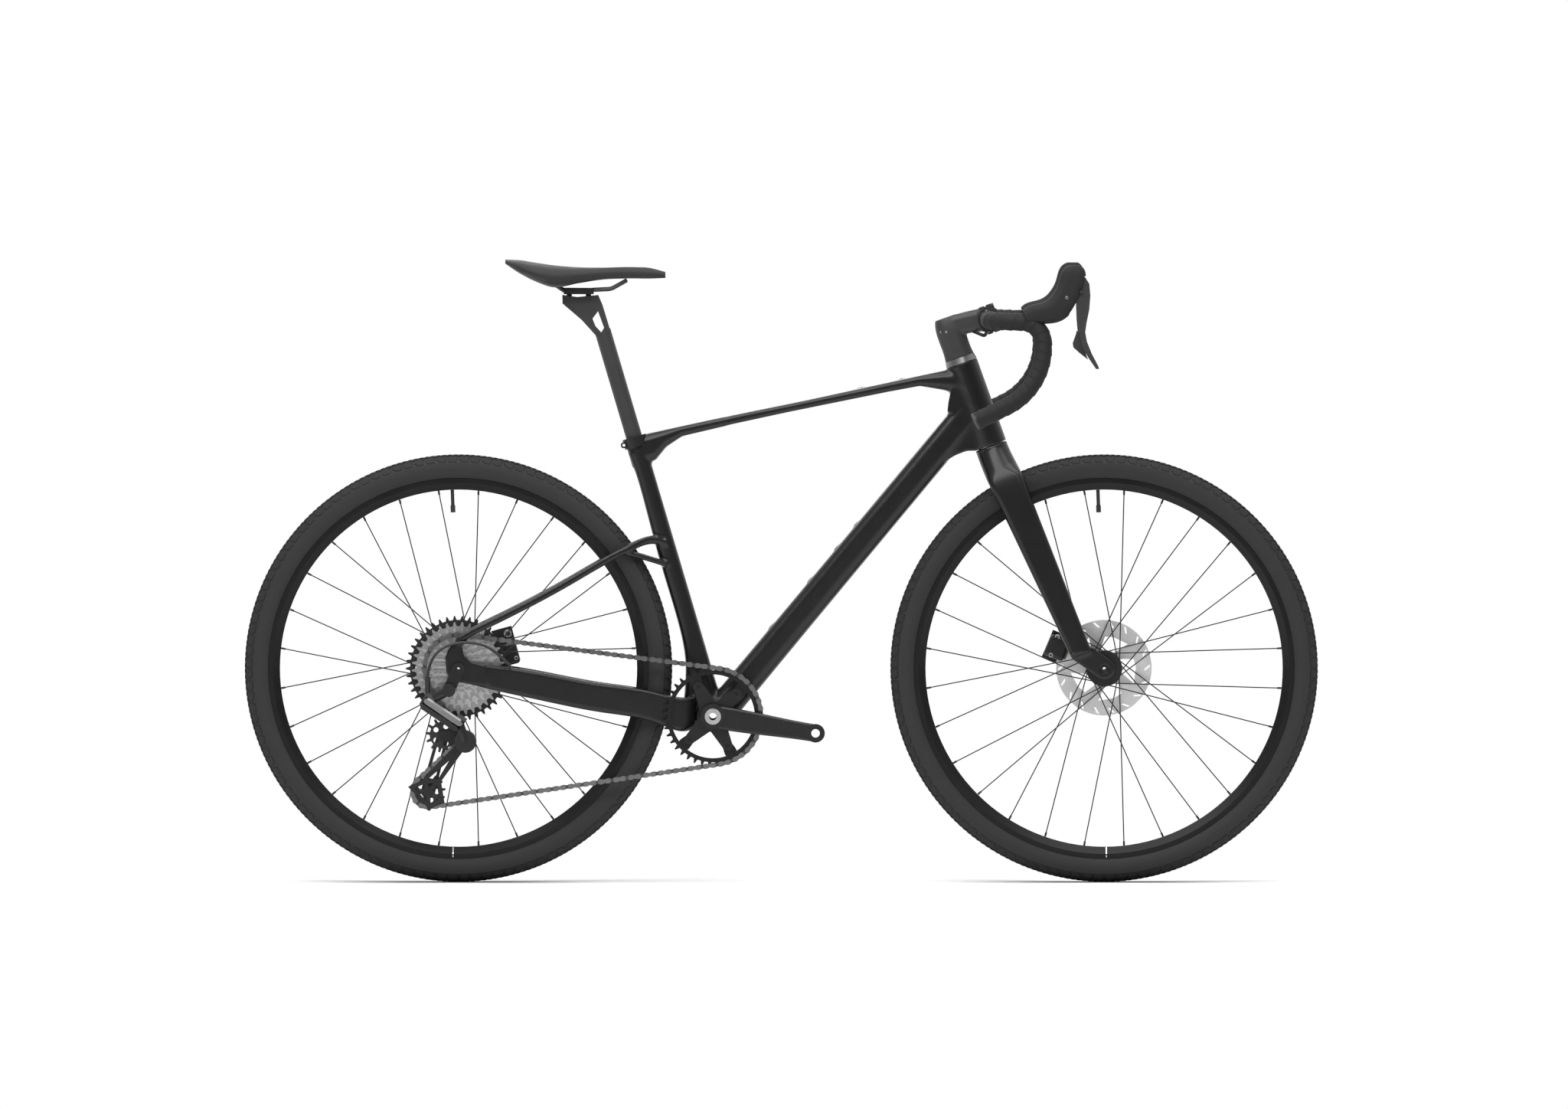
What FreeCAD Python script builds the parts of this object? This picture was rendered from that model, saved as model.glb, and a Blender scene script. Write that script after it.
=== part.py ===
import FreeCAD, Part
import math
import os
import Sketcher

# Gravel bike with drop bars, disc brakes and a single chainring.
# +X is forward, +Y is the rider's left and +Z is up. The origin is on the ground
# midway between the axles. Lengths are in millimetres and angles in degrees.

V = FreeCAD.Vector
ALONG_Y = V(0, 1, 0)
FULL_TURN = 360
SIDES = {"right": -1, "left": 1}

doc = FreeCAD.newDocument("GravelBike")
sheet = doc.addObject("Spreadsheet::Sheet", "Sizes")

SIZES = {
    # Layout of the whole bike
    "wheelbase": 1081,
    "wheel_radius": 358,
    "bb_drop": 79.5,
    "rear_centre_run": 426,
    "head_angle": 70.5,
    "fork_offset": 54.5,
    "seat_angle": 73.5,
    "seat_axis_ahead": 6,
    "seat_collar_height": 485,
    "cut_overrun": 5,
    "shaft_fit": 0.04,
    "seat_gap": 0.3,
    # Tyres and rims
    "tyre_section_radius": 23,
    "tyre_wall": 3.2,
    "tyre_lip_radius": 319,
    "bead_height": 7,
    "bead_outer": 12.2,
    "bead_inner": 8.5,
    "rim_depth": 19.7,
    "rim_flange": 2.6,
    "rim_flange_height": 8,
    "rim_well": 3.5,
    "rim_well_half": 7,
    "rim_bed_half": 6.5,
    "rim_cavity_half": 9,
    "rim_wall": 1.8,
    # Spokes and valves
    "spokes_count": 28,
    "spoke_radius": 0.95,
    "spoke_lace_angle": 64,
    "spoke_stagger": 1.9,
    "spoke_rim_stagger": 2.4,
    "spoke_root_depth": 3,
    "nipple_radius": 1.7,
    "nipple_length": 7,
    "valve_radius": 3,
    "valve_length": 38,
    "valve_cap_radius": 4,
    "valve_cap_length": 12,
    "valve_angle": 92,
    # Hubs and thru axles
    "hub_flange_radius": 30,
    "hub_flange_thick": 9,
    "hub_waist_radius": 16.5,
    "hub_waist_taper": 6,
    "hub_end_radius": 18,
    "hub_boss_radius": 17,
    "bearing_radius": 14,
    "bearing_width": 7,
    "hub_axle_radius": 7.5,
    "hub_cap_radius": 10,
    "thru_axle_radius": 6,
    "thru_axle_bore": 3,
    "thru_axle_head_radius": 9,
    "thru_axle_head": 5,
    "front_hub_half": 50,
    "front_right_flange": -34,
    "front_left_flange": 21,
    "front_hub_right_end": -41,
    "front_hub_left_end": 38,
    "front_rotor_side": 35,
    "rear_hub_half": 71,
    "rear_right_flange": -15.5,
    "rear_left_flange": 36,
    "rear_hub_right_end": -22,
    "rear_hub_left_end": 58.7,
    "rear_rotor_side": 55.7,
    # Disc brakes
    "rotor_radius": 80,
    "rotor_thick": 1.8,
    "rotor_band": 15,
    "rotor_slot_count": 18,
    "rotor_slot_length": 9,
    "rotor_slot_width": 3.6,
    "rotor_arm_count": 5,
    "rotor_window_inner": 28,
    "rotor_window_outer": 50,
    "rotor_window_span": 52,
    "lockring_radius": 21,
    "lockring_thick": 3,
    "pad_gap": 0.4,
    "pad_thick": 3.8,
    "pad_length": 26,
    "caliper_slot_radius": 84,
    "caliper_inner_radius": 68,
    "caliper_outer_radius": 103,
    "caliper_length": 37,
    "caliper_outboard": 15,
    "caliper_inboard": 11.5,
    "caliper_round": 6,
    "front_caliper_angle": 157,
    "rear_caliper_angle": 15,
    "caliper_foot_thick": 13,
    "caliper_foot_side": 24,
    "caliper_foot_length": 50,
    # Chain and sprockets
    "chain_pitch": 12.7,
    "chain_roller_radius": 3.85,
    "chain_pin_radius": 1.8,
    "chain_inner_width": 2.3,
    "chain_plate": 0.8,
    "chain_plate_gap": 0.14,
    "chain_plate_height": 8.4,
    "chain_waist_height": 5.6,
    "tooth_root_depth": 4.05,
    "tooth_root_half": 2.8,
    "tooth_tip_height": 3.1,
    "tooth_gap_half": 5.5,
    "chain_lead": 33,
    "chainline": 49.7,
    "ring_teeth": 40,
    "ring_thick": 2,
    "ring_inner_radius": 70,
    "ring_tab_radius": 8.5,
    "ring_bolt_circle": 55,
    "ring_bolt_radius": 4,
    "ring_bolt_head_radius": 6.5,
    "ring_bolt_head": 2,
    "cog_thick": 1.6,
    "cog_step": 3.9,
    "largest_cog_side": -25,
    "cog_spacer_wall": 2.2,
    "cog_rim": 13,
    "cog_hub": 9,
    "cog_window_count": 6,
    "freehub_radius": 14,
    "drive_cog_index": 3,
    # Crankset and bottom bracket
    "crank_length": 174,
    "crank_angle": -9.2,
    "crank_boss_radius": 21,
    "crank_boss_inner": 50.9,
    "crank_boss_outer": 71,
    "crank_end_radius": 15.5,
    "crank_end_inner": 62.5,
    "crank_end_outer": 75.5,
    "crank_arm_width": 38,
    "crank_arm_thick": 15,
    "pedal_hole_radius": 7.14,
    "spider_thick": 5,
    "spider_end_radius": 8.5,
    "spider_root_radius": 18,
    "crank_cap_radius": 13.5,
    "crank_cap_thick": 2.5,
    "crank_cap_bore": 6.2,
    "spindle_radius": 12,
    "spindle_bore": 10,
    "bb_shell_radius": 27,
    "bb_shell_half": 34,
    "bb_cup_radius": 22,
    "bb_cup_flange": 8.5,
    "bb_cup_depth": 12,
    "bb_cup_sleeve": 19,
    # Rear derailleur
    "guide_teeth": 13,
    "guide_ahead": -25.5,
    "guide_below": 111,
    "pulley_thick": 2,
    "pulley_pin_radius": 4,
    "pulley_spacing": 98,
    "cage_angle": 101.5,
    "cage_plate": 1.8,
    "cage_half_gap": 4.2,
    "cage_guide_radius": 10,
    "cage_tension_radius": 12,
    "cage_guard_reach": 33,
    "cage_arm_radius": 3.4,
    "cage_hub_radius": 7.5,
    "cage_knuckle_radius": 13,
    "pulley_window_count": 5,
    "pulley_window_circle": 14.8,
    "pulley_window_radius": 4.2,
    "knuckle_ahead": 37.5,
    "knuckle_below": 10,
    "knuckle_radius": 18.5,
    "knuckle_outer_side": -92,
    "cage_pin_radius": 5,
    "hanger_ahead": -15.5,
    "hanger_below": 35,
    "hanger_thick": 6,
    "hanger_top_radius": 11,
    "hanger_eye_radius": 9.5,
    "b_knuckle_radius": 11,
    "b_knuckle_outer_side": -103,
    "b_bolt_radius": 5,
    "link_pivot_ahead": -49.5,
    "link_pivot_below": 52,
    "link_pivot_side": -95,
    "link_run": 52,
    "link_fall": 35,
    "link_spread": 16,
    "link_end_radius": 6.2,
    "link_thick": 4.5,
    "link_pin_radius": 2.5,
    "lug_thick": 9,
    "lug_length": 17,
    "knuckle_strut_radius": 8,
    # Head tube, headset, fork
    "head_low": 415,
    "head_top": 561,
    "head_low_radius": 27.5,
    "head_top_radius": 27,
    "head_bore": 22,
    "upper_bearing_radius": 23,
    "upper_bearing_height": 8,
    "lower_bearing_radius": 24.5,
    "lower_bearing_height": 9,
    "steerer_radius": 14.3,
    "steerer_base_radius": 18.5,
    "steerer_base_height": 14,
    "steerer_taper": 40,
    "steerer_top": 632,
    "cover_height": 10,
    "cover_top_radius": 25,
    "crown_gap": 1.2,
    "crown_depth": 56,
    "crown_half_width": 53,
    "blade_top_height": 372,
    "blade_top_ahead": 3.5,
    "blade_low_height": 41,
    "blade_low_ahead": 26,
    "blade_top_depth": 59,
    "blade_low_depth": 36,
    "blade_top_width": 26,
    "blade_low_width": 17,
    "blade_top_side": 42.5,
    "blade_low_side": 58.5,
    "tyre_clearance": 6.5,
    "fork_end_radius": 17,
    "fork_end_thick": 12,
    # Stem and handlebar
    "stem_half_depth": 25.5,
    "stem_half_width": 22,
    "stem_top": 642,
    "stem_length": 67,
    "bar_height": 615,
    "stem_clamp_radius": 22,
    "stem_clamp_half": 21,
    "faceplate_split": 3,
    "faceplate_ear": 24,
    "faceplate_ear_half": 9,
    "clamp_bolt_radius": 2.5,
    "clamp_bolt_head_radius": 4,
    "clamp_bolt_head": 4,
    "clamp_bolt_length": 24,
    "clamp_bolt_spread": 19.8,
    "clamp_bolt_side": 13,
    "bar_clamp_radius": 15.9,
    "bar_clamp_half": 28,
    "bar_radius": 12,
    "bar_bore": 9.8,
    "bar_half_width": 221,
    "bar_reach": 90,
    "bar_ramp_fall": 3,
    "bar_drop": 113,
    "bar_end_back": 111.5,
    "bar_end_fall": 53.5,
    "bar_flare_low": 16,
    "bar_flare_end": 30,
    "bar_corner_radius": 48,
    "bar_hook_radius": 36,
    "bar_drop_radius": 112,
    "tape_radius": 14.6,
    "tape_start": 46,
    "plug_radius": 14.6,
    "plug_thick": 3,
    "plug_depth": 16,
    "hose_radius": 2.5,
    # Brake and shift levers
    "hood_set": 4,
    "hood_reach": 50,
    "hood_rise": 97,
    "hood_half_depth": 22,
    "hood_half_width": 18,
    "hood_slot_half": 8.2,
    "lever_ahead": 57,
    "lever_above": -77,
    "lever_reach": 36,
    "lever_height": 153,
    "lever_thick": 14,
    "lever_pivot_ahead": 63,
    "lever_pivot_above": 52,
    "lever_pin_radius": 2.5,
    "lever_pin_half": 15,
    "paddle_thick": 4,
    "paddle_barrel_half": 3,
    "paddle_pin_radius": 1,
    # Seatpost and saddle
    "post_radius": 13.6,
    "post_insert": 120,
    "post_round_length": 186,
    "post_head_length": 62,
    "post_head_height": 84,
    "post_head_width": 23,
    "collar_radius": 20.5,
    "collar_height": 17,
    "collar_lug": 12,
    "collar_bolt_radius": 2.5,
    "seat_tube_top_radius": 17,
    "rail_radius": 3.5,
    "rail_half_spread": 22,
    "rail_nose_half": 11,
    "rail_height": 989.5,
    "clamp_length": 50,
    "clamp_half_width": 30,
    "clamp_jaw": 5.2,
    "clamp_centre": -339,
    "clamp_bolt_gap": 32,
    "rail_bolt_radius": 3,
    "rail_bolt_below": 14,
    "rail_bolt_above": 4.6,
    "rail_bolt_head_radius": 4.5,
    "saddle_length": 268,
    "saddle_half_width": 72,
    "saddle_height": 49,
    "saddle_tail": -462,
    "saddle_base": 995,
    # Frame tubes
    "top_tube_tail_rise": 2,
    "top_tube_depth": 13,
    "top_tube_end_depth": 46,
    "top_tube_seat_width": 34,
    "top_tube_head_width": 46,
    "top_tube_head_height": 557,
    "down_tube_depth": 50,
    "down_tube_width": 54,
    "down_tube_head_height": 489,
    "down_tube_foot_above": 3.6,
    "down_tube_foot_ahead": 9.5,
    "head_gusset_width": 44,
    "seat_tube_depth": 32.4,
    "seat_tube_set_back": 1.2,
    "seat_tube_width": 35,
    "seat_tube_foot_depth": 54,
    "seat_tube_foot_width": 52,
    "stay_depth": 49,
    "stay_thick": 12.5,
    "stay_front_half": 36.5,
    "seatstay_depth": 13,
    "seatstay_thick": 12,
    "bridge_depth": 9,
    "seatstay_join_above": 292,
    "dropout_thick": 8,
    "dropout_length": 72,
    "dropout_height": 92,
    "boss_radius": 5.5,
    "boss_height": 2.2,
    "boss_thread_radius": 2.5,
    "boss_depth": 11,
    # Derailleur housing
    "housing_radius": 2.4,
    "housing_span": 93,
    "housing_rise": 47,
    "ferrule_radius": 4.5,
}


class Size(float):
    """A number that remembers the spreadsheet expression it was worked out from."""

    def __new__(cls, value, text):
        size = super().__new__(cls, value)
        size.text = text
        return size

    def __add__(self, other):
        return Size(float(self) + float(other), f"({self.text} + {text_of(other)})")

    def __radd__(self, other):
        return Size(float(other) + float(self), f"({text_of(other)} + {self.text})")

    def __sub__(self, other):
        return Size(float(self) - float(other), f"({self.text} - {text_of(other)})")

    def __rsub__(self, other):
        return Size(float(other) - float(self), f"({text_of(other)} - {self.text})")

    def __mul__(self, other):
        return Size(float(self) * float(other), f"({self.text} * {text_of(other)})")

    def __rmul__(self, other):
        return Size(float(other) * float(self), f"({text_of(other)} * {self.text})")

    def __truediv__(self, other):
        return Size(float(self) / float(other), f"({self.text} / {text_of(other)})")

    def __neg__(self):
        return Size(-float(self), f"(0 - {self.text})")


class Free(float):
    """A coordinate that a sketch works out for itself from its arcs."""


class Sizes:
    """The driving dimensions, read back from the sheet by name."""

    def __init__(self):
        for row, (name, value) in enumerate(SIZES.items(), 1):
            sheet.set(f"A{row}", name)
            sheet.set(f"B{row}", str(value))
            sheet.setAlias(f"B{row}", name)
        doc.recompute()
        for name in SIZES:
            setattr(self, name, Size(float(sheet.get(name)), "Sizes." + name))


def text_of(value):
    return value.text if isinstance(value, Size) else repr(float(value))


s = Sizes()
nodes = []


# Anchors that every piece is placed from

rear_axle = V(-s.wheelbase / 2, 0, s.wheel_radius)
front_axle = V(s.wheelbase / 2, 0, s.wheel_radius)
bb_centre = V(-s.wheelbase / 2 + s.rear_centre_run, 0, s.wheel_radius - s.bb_drop)

steer_tilt = s.head_angle - 90
seat_tilt = s.seat_angle - 90
steer_up = V(math.sin(math.radians(steer_tilt)), 0, math.cos(math.radians(steer_tilt)))
steer_ahead = V(steer_up.z, 0, -steer_up.x)
steer_foot = front_axle - steer_ahead * s.fork_offset
seat_up = V(math.sin(math.radians(seat_tilt)), 0, math.cos(math.radians(seat_tilt)))
seat_ahead = V(seat_up.z, 0, -seat_up.x)


def on_steer(height, ahead=0.0, side=0.0):
    """A point given along the steering axis, ahead of it and to the left of it."""
    return steer_foot + steer_up * height + steer_ahead * ahead + ALONG_Y * side


def on_seat(height, ahead=0.0, side=0.0):
    """A point given along the seat tube's axis, ahead of it and to the left of it."""
    return bb_centre + seat_up * height + seat_ahead * (s.seat_axis_ahead + ahead) + ALONG_Y * side


bar_centre = on_steer(s.bar_height, s.stem_length)
collar_centre = on_seat(s.seat_collar_height)


# Document helpers

def feature(label, shape):
    """A sub-part whose shape is worked out with solid functions."""
    thing = doc.addObject("Part::Feature", label)
    thing.Label = label
    thing.Shape = shape
    nodes.append(thing)
    return thing


def new_body(label):
    body = doc.addObject("PartDesign::Body", label)
    body.Label = label
    nodes.append(body)
    return body


def place(thing, base, tilt=0.0):
    """Put a body at a point, tilted about the crosswise axis."""
    thing.Placement = FreeCAD.Placement(base, FreeCAD.Rotation(ALONG_Y, tilt))
    return thing


def new_sketch(body, name, plane):
    sketch = body.newObject("Sketcher::SketchObject", name)
    datum = next(item for item in body.Origin.OriginFeatures if item.Role == plane)
    sketch.AttachmentSupport = [(datum, "")]
    sketch.MapMode = "FlatFace"
    return sketch


def hold(sketch, kind, edge, point, value):
    """Tie one dimension of a sketch to the sizes it was worked out from."""
    if isinstance(value, Free):
        return
    if point is None:
        index = sketch.addConstraint(Sketcher.Constraint(kind, edge, float(value)))
    else:
        index = sketch.addConstraint(Sketcher.Constraint(kind, edge, point, float(value)))
    if isinstance(value, Size):
        sketch.setExpression(f"Constraints[{index}]", value.text)


def add_loop(sketch, corners, arcs=None):
    """Draw a closed loop. An arc runs counter-clockwise, or clockwise with a negative radius."""
    arcs = arcs or {}
    ends = []
    for index, start in enumerate(corners):
        finish = corners[(index + 1) % len(corners)]
        if index not in arcs:
            line = Part.LineSegment(V(start[0], start[1], 0), V(finish[0], finish[1], 0))
            ends.append((sketch.addGeometry(line), 1, 2))
            continue
        centre_x, centre_y, radius = arcs[index]
        clockwise = radius < 0
        first, last = (finish, start) if clockwise else (start, finish)
        begin = math.atan2(first[1] - centre_y, first[0] - centre_x)
        stop = math.atan2(last[1] - centre_y, last[0] - centre_x)
        circle = Part.Circle(V(centre_x, centre_y, 0), V(0, 0, 1), abs(float(radius)))
        edge = sketch.addGeometry(Part.ArcOfCircle(circle, begin, stop))
        hold(sketch, "DistanceX", edge, 3, centre_x)
        hold(sketch, "DistanceY", edge, 3, centre_y)
        hold(sketch, "Radius", edge, None, -radius if clockwise else radius)
        ends.append((edge, 2, 1) if clockwise else (edge, 1, 2))
    for index, (edge, start, finish) in enumerate(ends):
        after, after_start, _ = ends[(index + 1) % len(ends)]
        sketch.addConstraint(Sketcher.Constraint("Coincident", edge, finish, after, after_start))
        hold(sketch, "DistanceX", edge, start, corners[index][0])
        hold(sketch, "DistanceY", edge, start, corners[index][1])


def add_circle(sketch, x, y, radius):
    edge = sketch.addGeometry(Part.Circle(V(x, y, 0), V(0, 0, 1), radius))
    hold(sketch, "DistanceX", edge, 3, x)
    hold(sketch, "DistanceY", edge, 3, y)
    hold(sketch, "Radius", edge, None, radius)


def turned(label, loops, plane="XY_Plane", arcs=None):
    """A body turned about the upright axis of its profile sketch."""
    body = new_body(label)
    sketch = new_sketch(body, label + "_profile", plane)
    for loop in loops:
        add_loop(sketch, loop, arcs)
    turn = body.newObject("PartDesign::Revolution", label + "_turn")
    turn.Profile = sketch
    turn.ReferenceAxis = (sketch, ["V_Axis"])
    turn.Angle = FULL_TURN
    return body


def plate(label, thickness, loops=(), circles=()):
    """A body padded evenly to both sides of the upright plane."""
    body = new_body(label)
    sketch = new_sketch(body, label + "_outline", "XZ_Plane")
    for loop in loops:
        add_loop(sketch, loop)
    for circle in circles:
        add_circle(sketch, *circle)
    pad = body.newObject("PartDesign::Pad", label + "_pad")
    pad.Profile = sketch
    pad.SideType = "Symmetric"
    pad.setExpression("Length", thickness.text)
    return body


def pierce(body, name, loops=(), circles=(), count=1):
    """Cut an outline right through a plate, and repeat the cut round its axis."""
    sketch = new_sketch(body, name + "_outline", "XZ_Plane")
    for loop in loops:
        add_loop(sketch, loop)
    for circle in circles:
        add_circle(sketch, *circle)
    pocket = body.newObject("PartDesign::Pocket", name)
    pocket.Profile = sketch
    pocket.SideType = "Symmetric"
    pocket.Type = "ThroughAll"
    if count > 1:
        pattern = body.newObject("PartDesign::PolarPattern", name + "_pattern")
        pattern.Originals = [pocket]
        pattern.Axis = (sketch, ["N_Axis"])
        pattern.Angle = FULL_TURN
        pattern.Occurrences = int(count)
        body.Tip = pattern
    return body


# Solid helpers

def rod(start, finish, radius):
    return Part.makeCylinder(radius, (finish - start).Length, start, finish - start)


def ring(start, finish, outer, inner):
    return rod(start, finish, outer).cut(rod(start, finish, inner))


def crosswise(centre, low_side, high_side, radius):
    """A round bar across the bike between two sides."""
    return rod(V(centre.x, low_side, centre.z), V(centre.x, high_side, centre.z), radius)


def prism(points, low_side, high_side):
    """An upright outline carried across the bike between two sides."""
    wire = Part.makePolygon([V(x, low_side, z) for x, z in points + points[:1]])
    return Part.Face(wire).extrude(ALONG_Y * (high_side - low_side))


def hull_plate(first, first_radius, second, second_radius, low_side, high_side):
    """A flat link with two round ends joined by their outer tangents."""
    run = V(second.x - first.x, 0, second.z - first.z)
    along = V(run).normalize()
    across = V(-along.z, 0, along.x)
    lean = math.asin((first_radius - second_radius) / run.Length)
    base_first = V(first.x, low_side, first.z)
    base_second = V(second.x, low_side, second.z)

    def spot(base, radius, turn):
        return base + (along * math.cos(turn) + across * math.sin(turn)) * radius

    quarter = math.pi / 2 - lean
    edges = [
        Part.LineSegment(spot(base_first, first_radius, quarter), spot(base_second, second_radius, quarter)),
        Part.Arc(spot(base_second, second_radius, quarter), spot(base_second, second_radius, 0),
                 spot(base_second, second_radius, -quarter)),
        Part.LineSegment(spot(base_second, second_radius, -quarter), spot(base_first, first_radius, -quarter)),
        Part.Arc(spot(base_first, first_radius, -quarter), spot(base_first, first_radius, math.pi),
                 spot(base_first, first_radius, quarter)),
    ]
    wire = Part.Wire([edge.toShape() for edge in edges])
    return Part.Face(wire).extrude(ALONG_Y * (high_side - low_side))


def section(centre, across, half_depth, half_width, corner_share, side=ALONG_Y):
    """A tube section: four lines joined by four quarter arcs."""
    corner = corner_share * min(half_depth, half_width)
    flat_depth = half_depth - corner
    flat_width = half_width - corner
    bulge = corner * math.sqrt(0.5)
    starts = []
    edges = []

    def spot(depth, width):
        return centre + across * depth + side * width

    for depth_sign, width_sign in ((1, 1), (-1, 1), (-1, -1), (1, -1)):
        on_end = spot(depth_sign * half_depth, width_sign * flat_width)
        middle = spot(depth_sign * (flat_depth + bulge), width_sign * (flat_width + bulge))
        on_side = spot(depth_sign * flat_depth, width_sign * half_width)
        first, last = (on_end, on_side) if depth_sign == width_sign else (on_side, on_end)
        starts.append((first, middle, last))
    for index, (first, middle, last) in enumerate(starts):
        edges.append(Part.Arc(first, middle, last).toShape())
        edges.append(Part.LineSegment(last, starts[(index + 1) % len(starts)][0]).toShape())
    return Part.Wire(edges)


def loft(wires, ruled=False):
    return Part.makeLoft(wires, True, ruled)


def route_wire(points, radii):
    """Straight runs joined by tangent arcs of the given radii."""
    edges = []
    begin = points[0]
    for index, radius in enumerate(radii, 1):
        corner = points[index]
        back = (points[index - 1] - corner).normalize()
        onward = (points[index + 1] - corner).normalize()
        half = back.getAngle(onward) / 2
        reach = radius / math.tan(half)
        inward = (back + onward).normalize()
        centre = corner + inward * (radius / math.sin(half))
        first = corner + back * reach
        last = corner + onward * reach
        edges.append(Part.LineSegment(begin, first).toShape())
        edges.append(Part.Arc(first, centre - inward * radius, last).toShape())
        begin = last
    edges.append(Part.LineSegment(begin, points[-1]).toShape())
    return Part.Wire(edges)


def pipe(path, radius):
    """A round bar that follows a path."""
    start = path.Edges[0].valueAt(path.Edges[0].FirstParameter)
    heading = path.Edges[0].tangentAt(path.Edges[0].FirstParameter)
    profile = Part.Wire([Part.Circle(start, heading, radius).toShape()])
    return path.makePipeShell([profile], True, False)


def joined(shapes):
    whole = shapes[0].multiFuse(shapes[1:])
    tidy = whole.removeSplitter()
    return tidy if tidy.isValid() else whole


def polar(centre, radius, degrees):
    """A point round a crosswise axis, counted from forward towards up."""
    angle = math.radians(degrees)
    return centre + V(math.cos(angle), 0, math.sin(angle)) * radius


# Wheels

rim_top = s.tyre_lip_radius - s.seat_gap
rim_bed = rim_top - s.rim_depth


def make_tyre(name, axle):
    centre = s.wheel_radius - s.tyre_section_radius
    inner = s.tyre_section_radius - s.tyre_wall
    foot = s.tyre_lip_radius - s.bead_height
    lip_rise = math.sqrt(s.tyre_section_radius ** 2 - (centre - s.tyre_lip_radius) ** 2)
    bead_top = centre - math.sqrt(inner ** 2 - s.bead_inner ** 2)
    corners = [
        (s.tyre_lip_radius, Free(-lip_rise)),
        (s.tyre_lip_radius, Free(lip_rise)),
        (s.tyre_lip_radius, s.bead_outer),
        (foot, s.bead_outer),
        (foot, s.bead_inner),
        (Free(bead_top), s.bead_inner),
        (Free(bead_top), -s.bead_inner),
        (foot, -s.bead_inner),
        (foot, -s.bead_outer),
        (s.tyre_lip_radius, -s.bead_outer),
    ]
    arcs = {0: (centre, 0, s.tyre_section_radius), 5: (centre, 0, -inner)}
    place(turned(name, [corners], arcs=arcs), axle)


def make_rim(name, axle):
    inside = s.bead_outer + s.seat_gap
    outside = inside + s.rim_flange
    shelf = s.tyre_lip_radius - s.bead_height - s.seat_gap
    well = shelf - s.rim_well
    shoulder = rim_top - s.rim_flange_height
    half = [
        (well, s.rim_well_half),
        (shelf, s.rim_well_half),
        (shelf, inside),
        (rim_top, inside),
        (rim_top, outside),
        (shoulder, outside),
        (rim_bed, s.rim_bed_half),
    ]
    outline = half + [(radius, -side) for radius, side in reversed(half)]
    cavity_top = well - s.rim_wall
    cavity_bed = rim_bed + s.rim_wall
    cavity_low = s.rim_bed_half - s.rim_wall
    cavity = [
        (cavity_top, -s.rim_cavity_half),
        (cavity_top, s.rim_cavity_half),
        (cavity_bed, cavity_low),
        (cavity_bed, -cavity_low),
    ]
    place(turned(name, [outline, cavity]), axle)


def spoke_lines(axle, right_flange, left_flange):
    """Straight-pull spokes, two crossings a side: where each starts, and ends at the rim."""
    lines = []
    step = FULL_TURN / s.spokes_count
    for number in range(int(s.spokes_count)):
        flange = right_flange if number % 2 == 0 else left_flange
        outward = -1 if number % 2 == 0 else 1
        lead = 1 if number // 2 % 2 == 0 else -1
        angle = number * step + step / 2
        root = polar(axle, s.hub_flange_radius - s.spoke_root_depth, angle + lead * s.spoke_lace_angle)
        tip = polar(axle, rim_bed - s.seat_gap, angle)
        root.y = flange + lead * s.spoke_stagger
        tip.y = outward * s.spoke_rim_stagger
        lines.append((root, tip))
    return lines


def make_spokes(name, lines):
    solids = []
    for root, tip in lines:
        along = (tip - root).normalize()
        neck = tip - along * s.nipple_length
        solids.append(rod(root, neck, s.spoke_radius).fuse(rod(neck, tip, s.nipple_radius)))
    feature(name, Part.Compound(solids))


def make_hub_shell(name, axle, right_flange, left_flange, right_end, left_end, lines):
    bore = s.bearing_radius + s.shaft_fit
    half = s.hub_flange_thick / 2
    outline = [
        (bore, right_end),
        (s.hub_end_radius, right_end),
        (s.hub_end_radius, right_flange - half),
        (s.hub_flange_radius, right_flange - half),
        (s.hub_flange_radius, right_flange + half),
        (s.hub_waist_radius, right_flange + half + s.hub_waist_taper),
        (s.hub_waist_radius, left_flange - half - s.hub_waist_taper),
        (s.hub_flange_radius, left_flange - half),
        (s.hub_flange_radius, left_flange + half),
        (s.hub_boss_radius, left_flange + half),
        (s.hub_boss_radius, left_end),
        (bore, left_end),
    ]
    blank = place(turned(name + "_blank", [outline]), axle)
    nodes.remove(blank)
    doc.recompute()
    reach = s.spoke_root_depth * s.spokes_count
    holes = [
        rod(root, root + (tip - root).normalize() * reach, s.spoke_radius + s.shaft_fit)
        for root, tip in lines
    ]
    feature(name, blank.Shape.cut(Part.Compound(holes)))


def make_hub_bearings(name, axle, right_end, left_end):
    rings = []
    for low in (right_end, left_end - s.bearing_width):
        high = low + s.bearing_width
        rings.append(ring(axle + ALONG_Y * low, axle + ALONG_Y * high, s.bearing_radius,
                          s.hub_axle_radius + s.shaft_fit))
    feature(name, Part.Compound(rings))


def make_hub_axle(name, axle, half, right_end, left_end):
    """The sleeve that carries the bearings, with a cap at each dropout."""
    bore = s.thru_axle_radius + s.shaft_fit
    outline = [
        (bore, -half),
        (s.hub_cap_radius, -half),
        (s.hub_cap_radius, right_end - s.seat_gap),
        (s.hub_axle_radius, right_end - s.seat_gap),
        (s.hub_axle_radius, left_end + s.seat_gap),
        (s.hub_cap_radius, left_end + s.seat_gap),
        (s.hub_cap_radius, half),
        (bore, half),
    ]
    place(turned(name, [outline]), axle)


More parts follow.
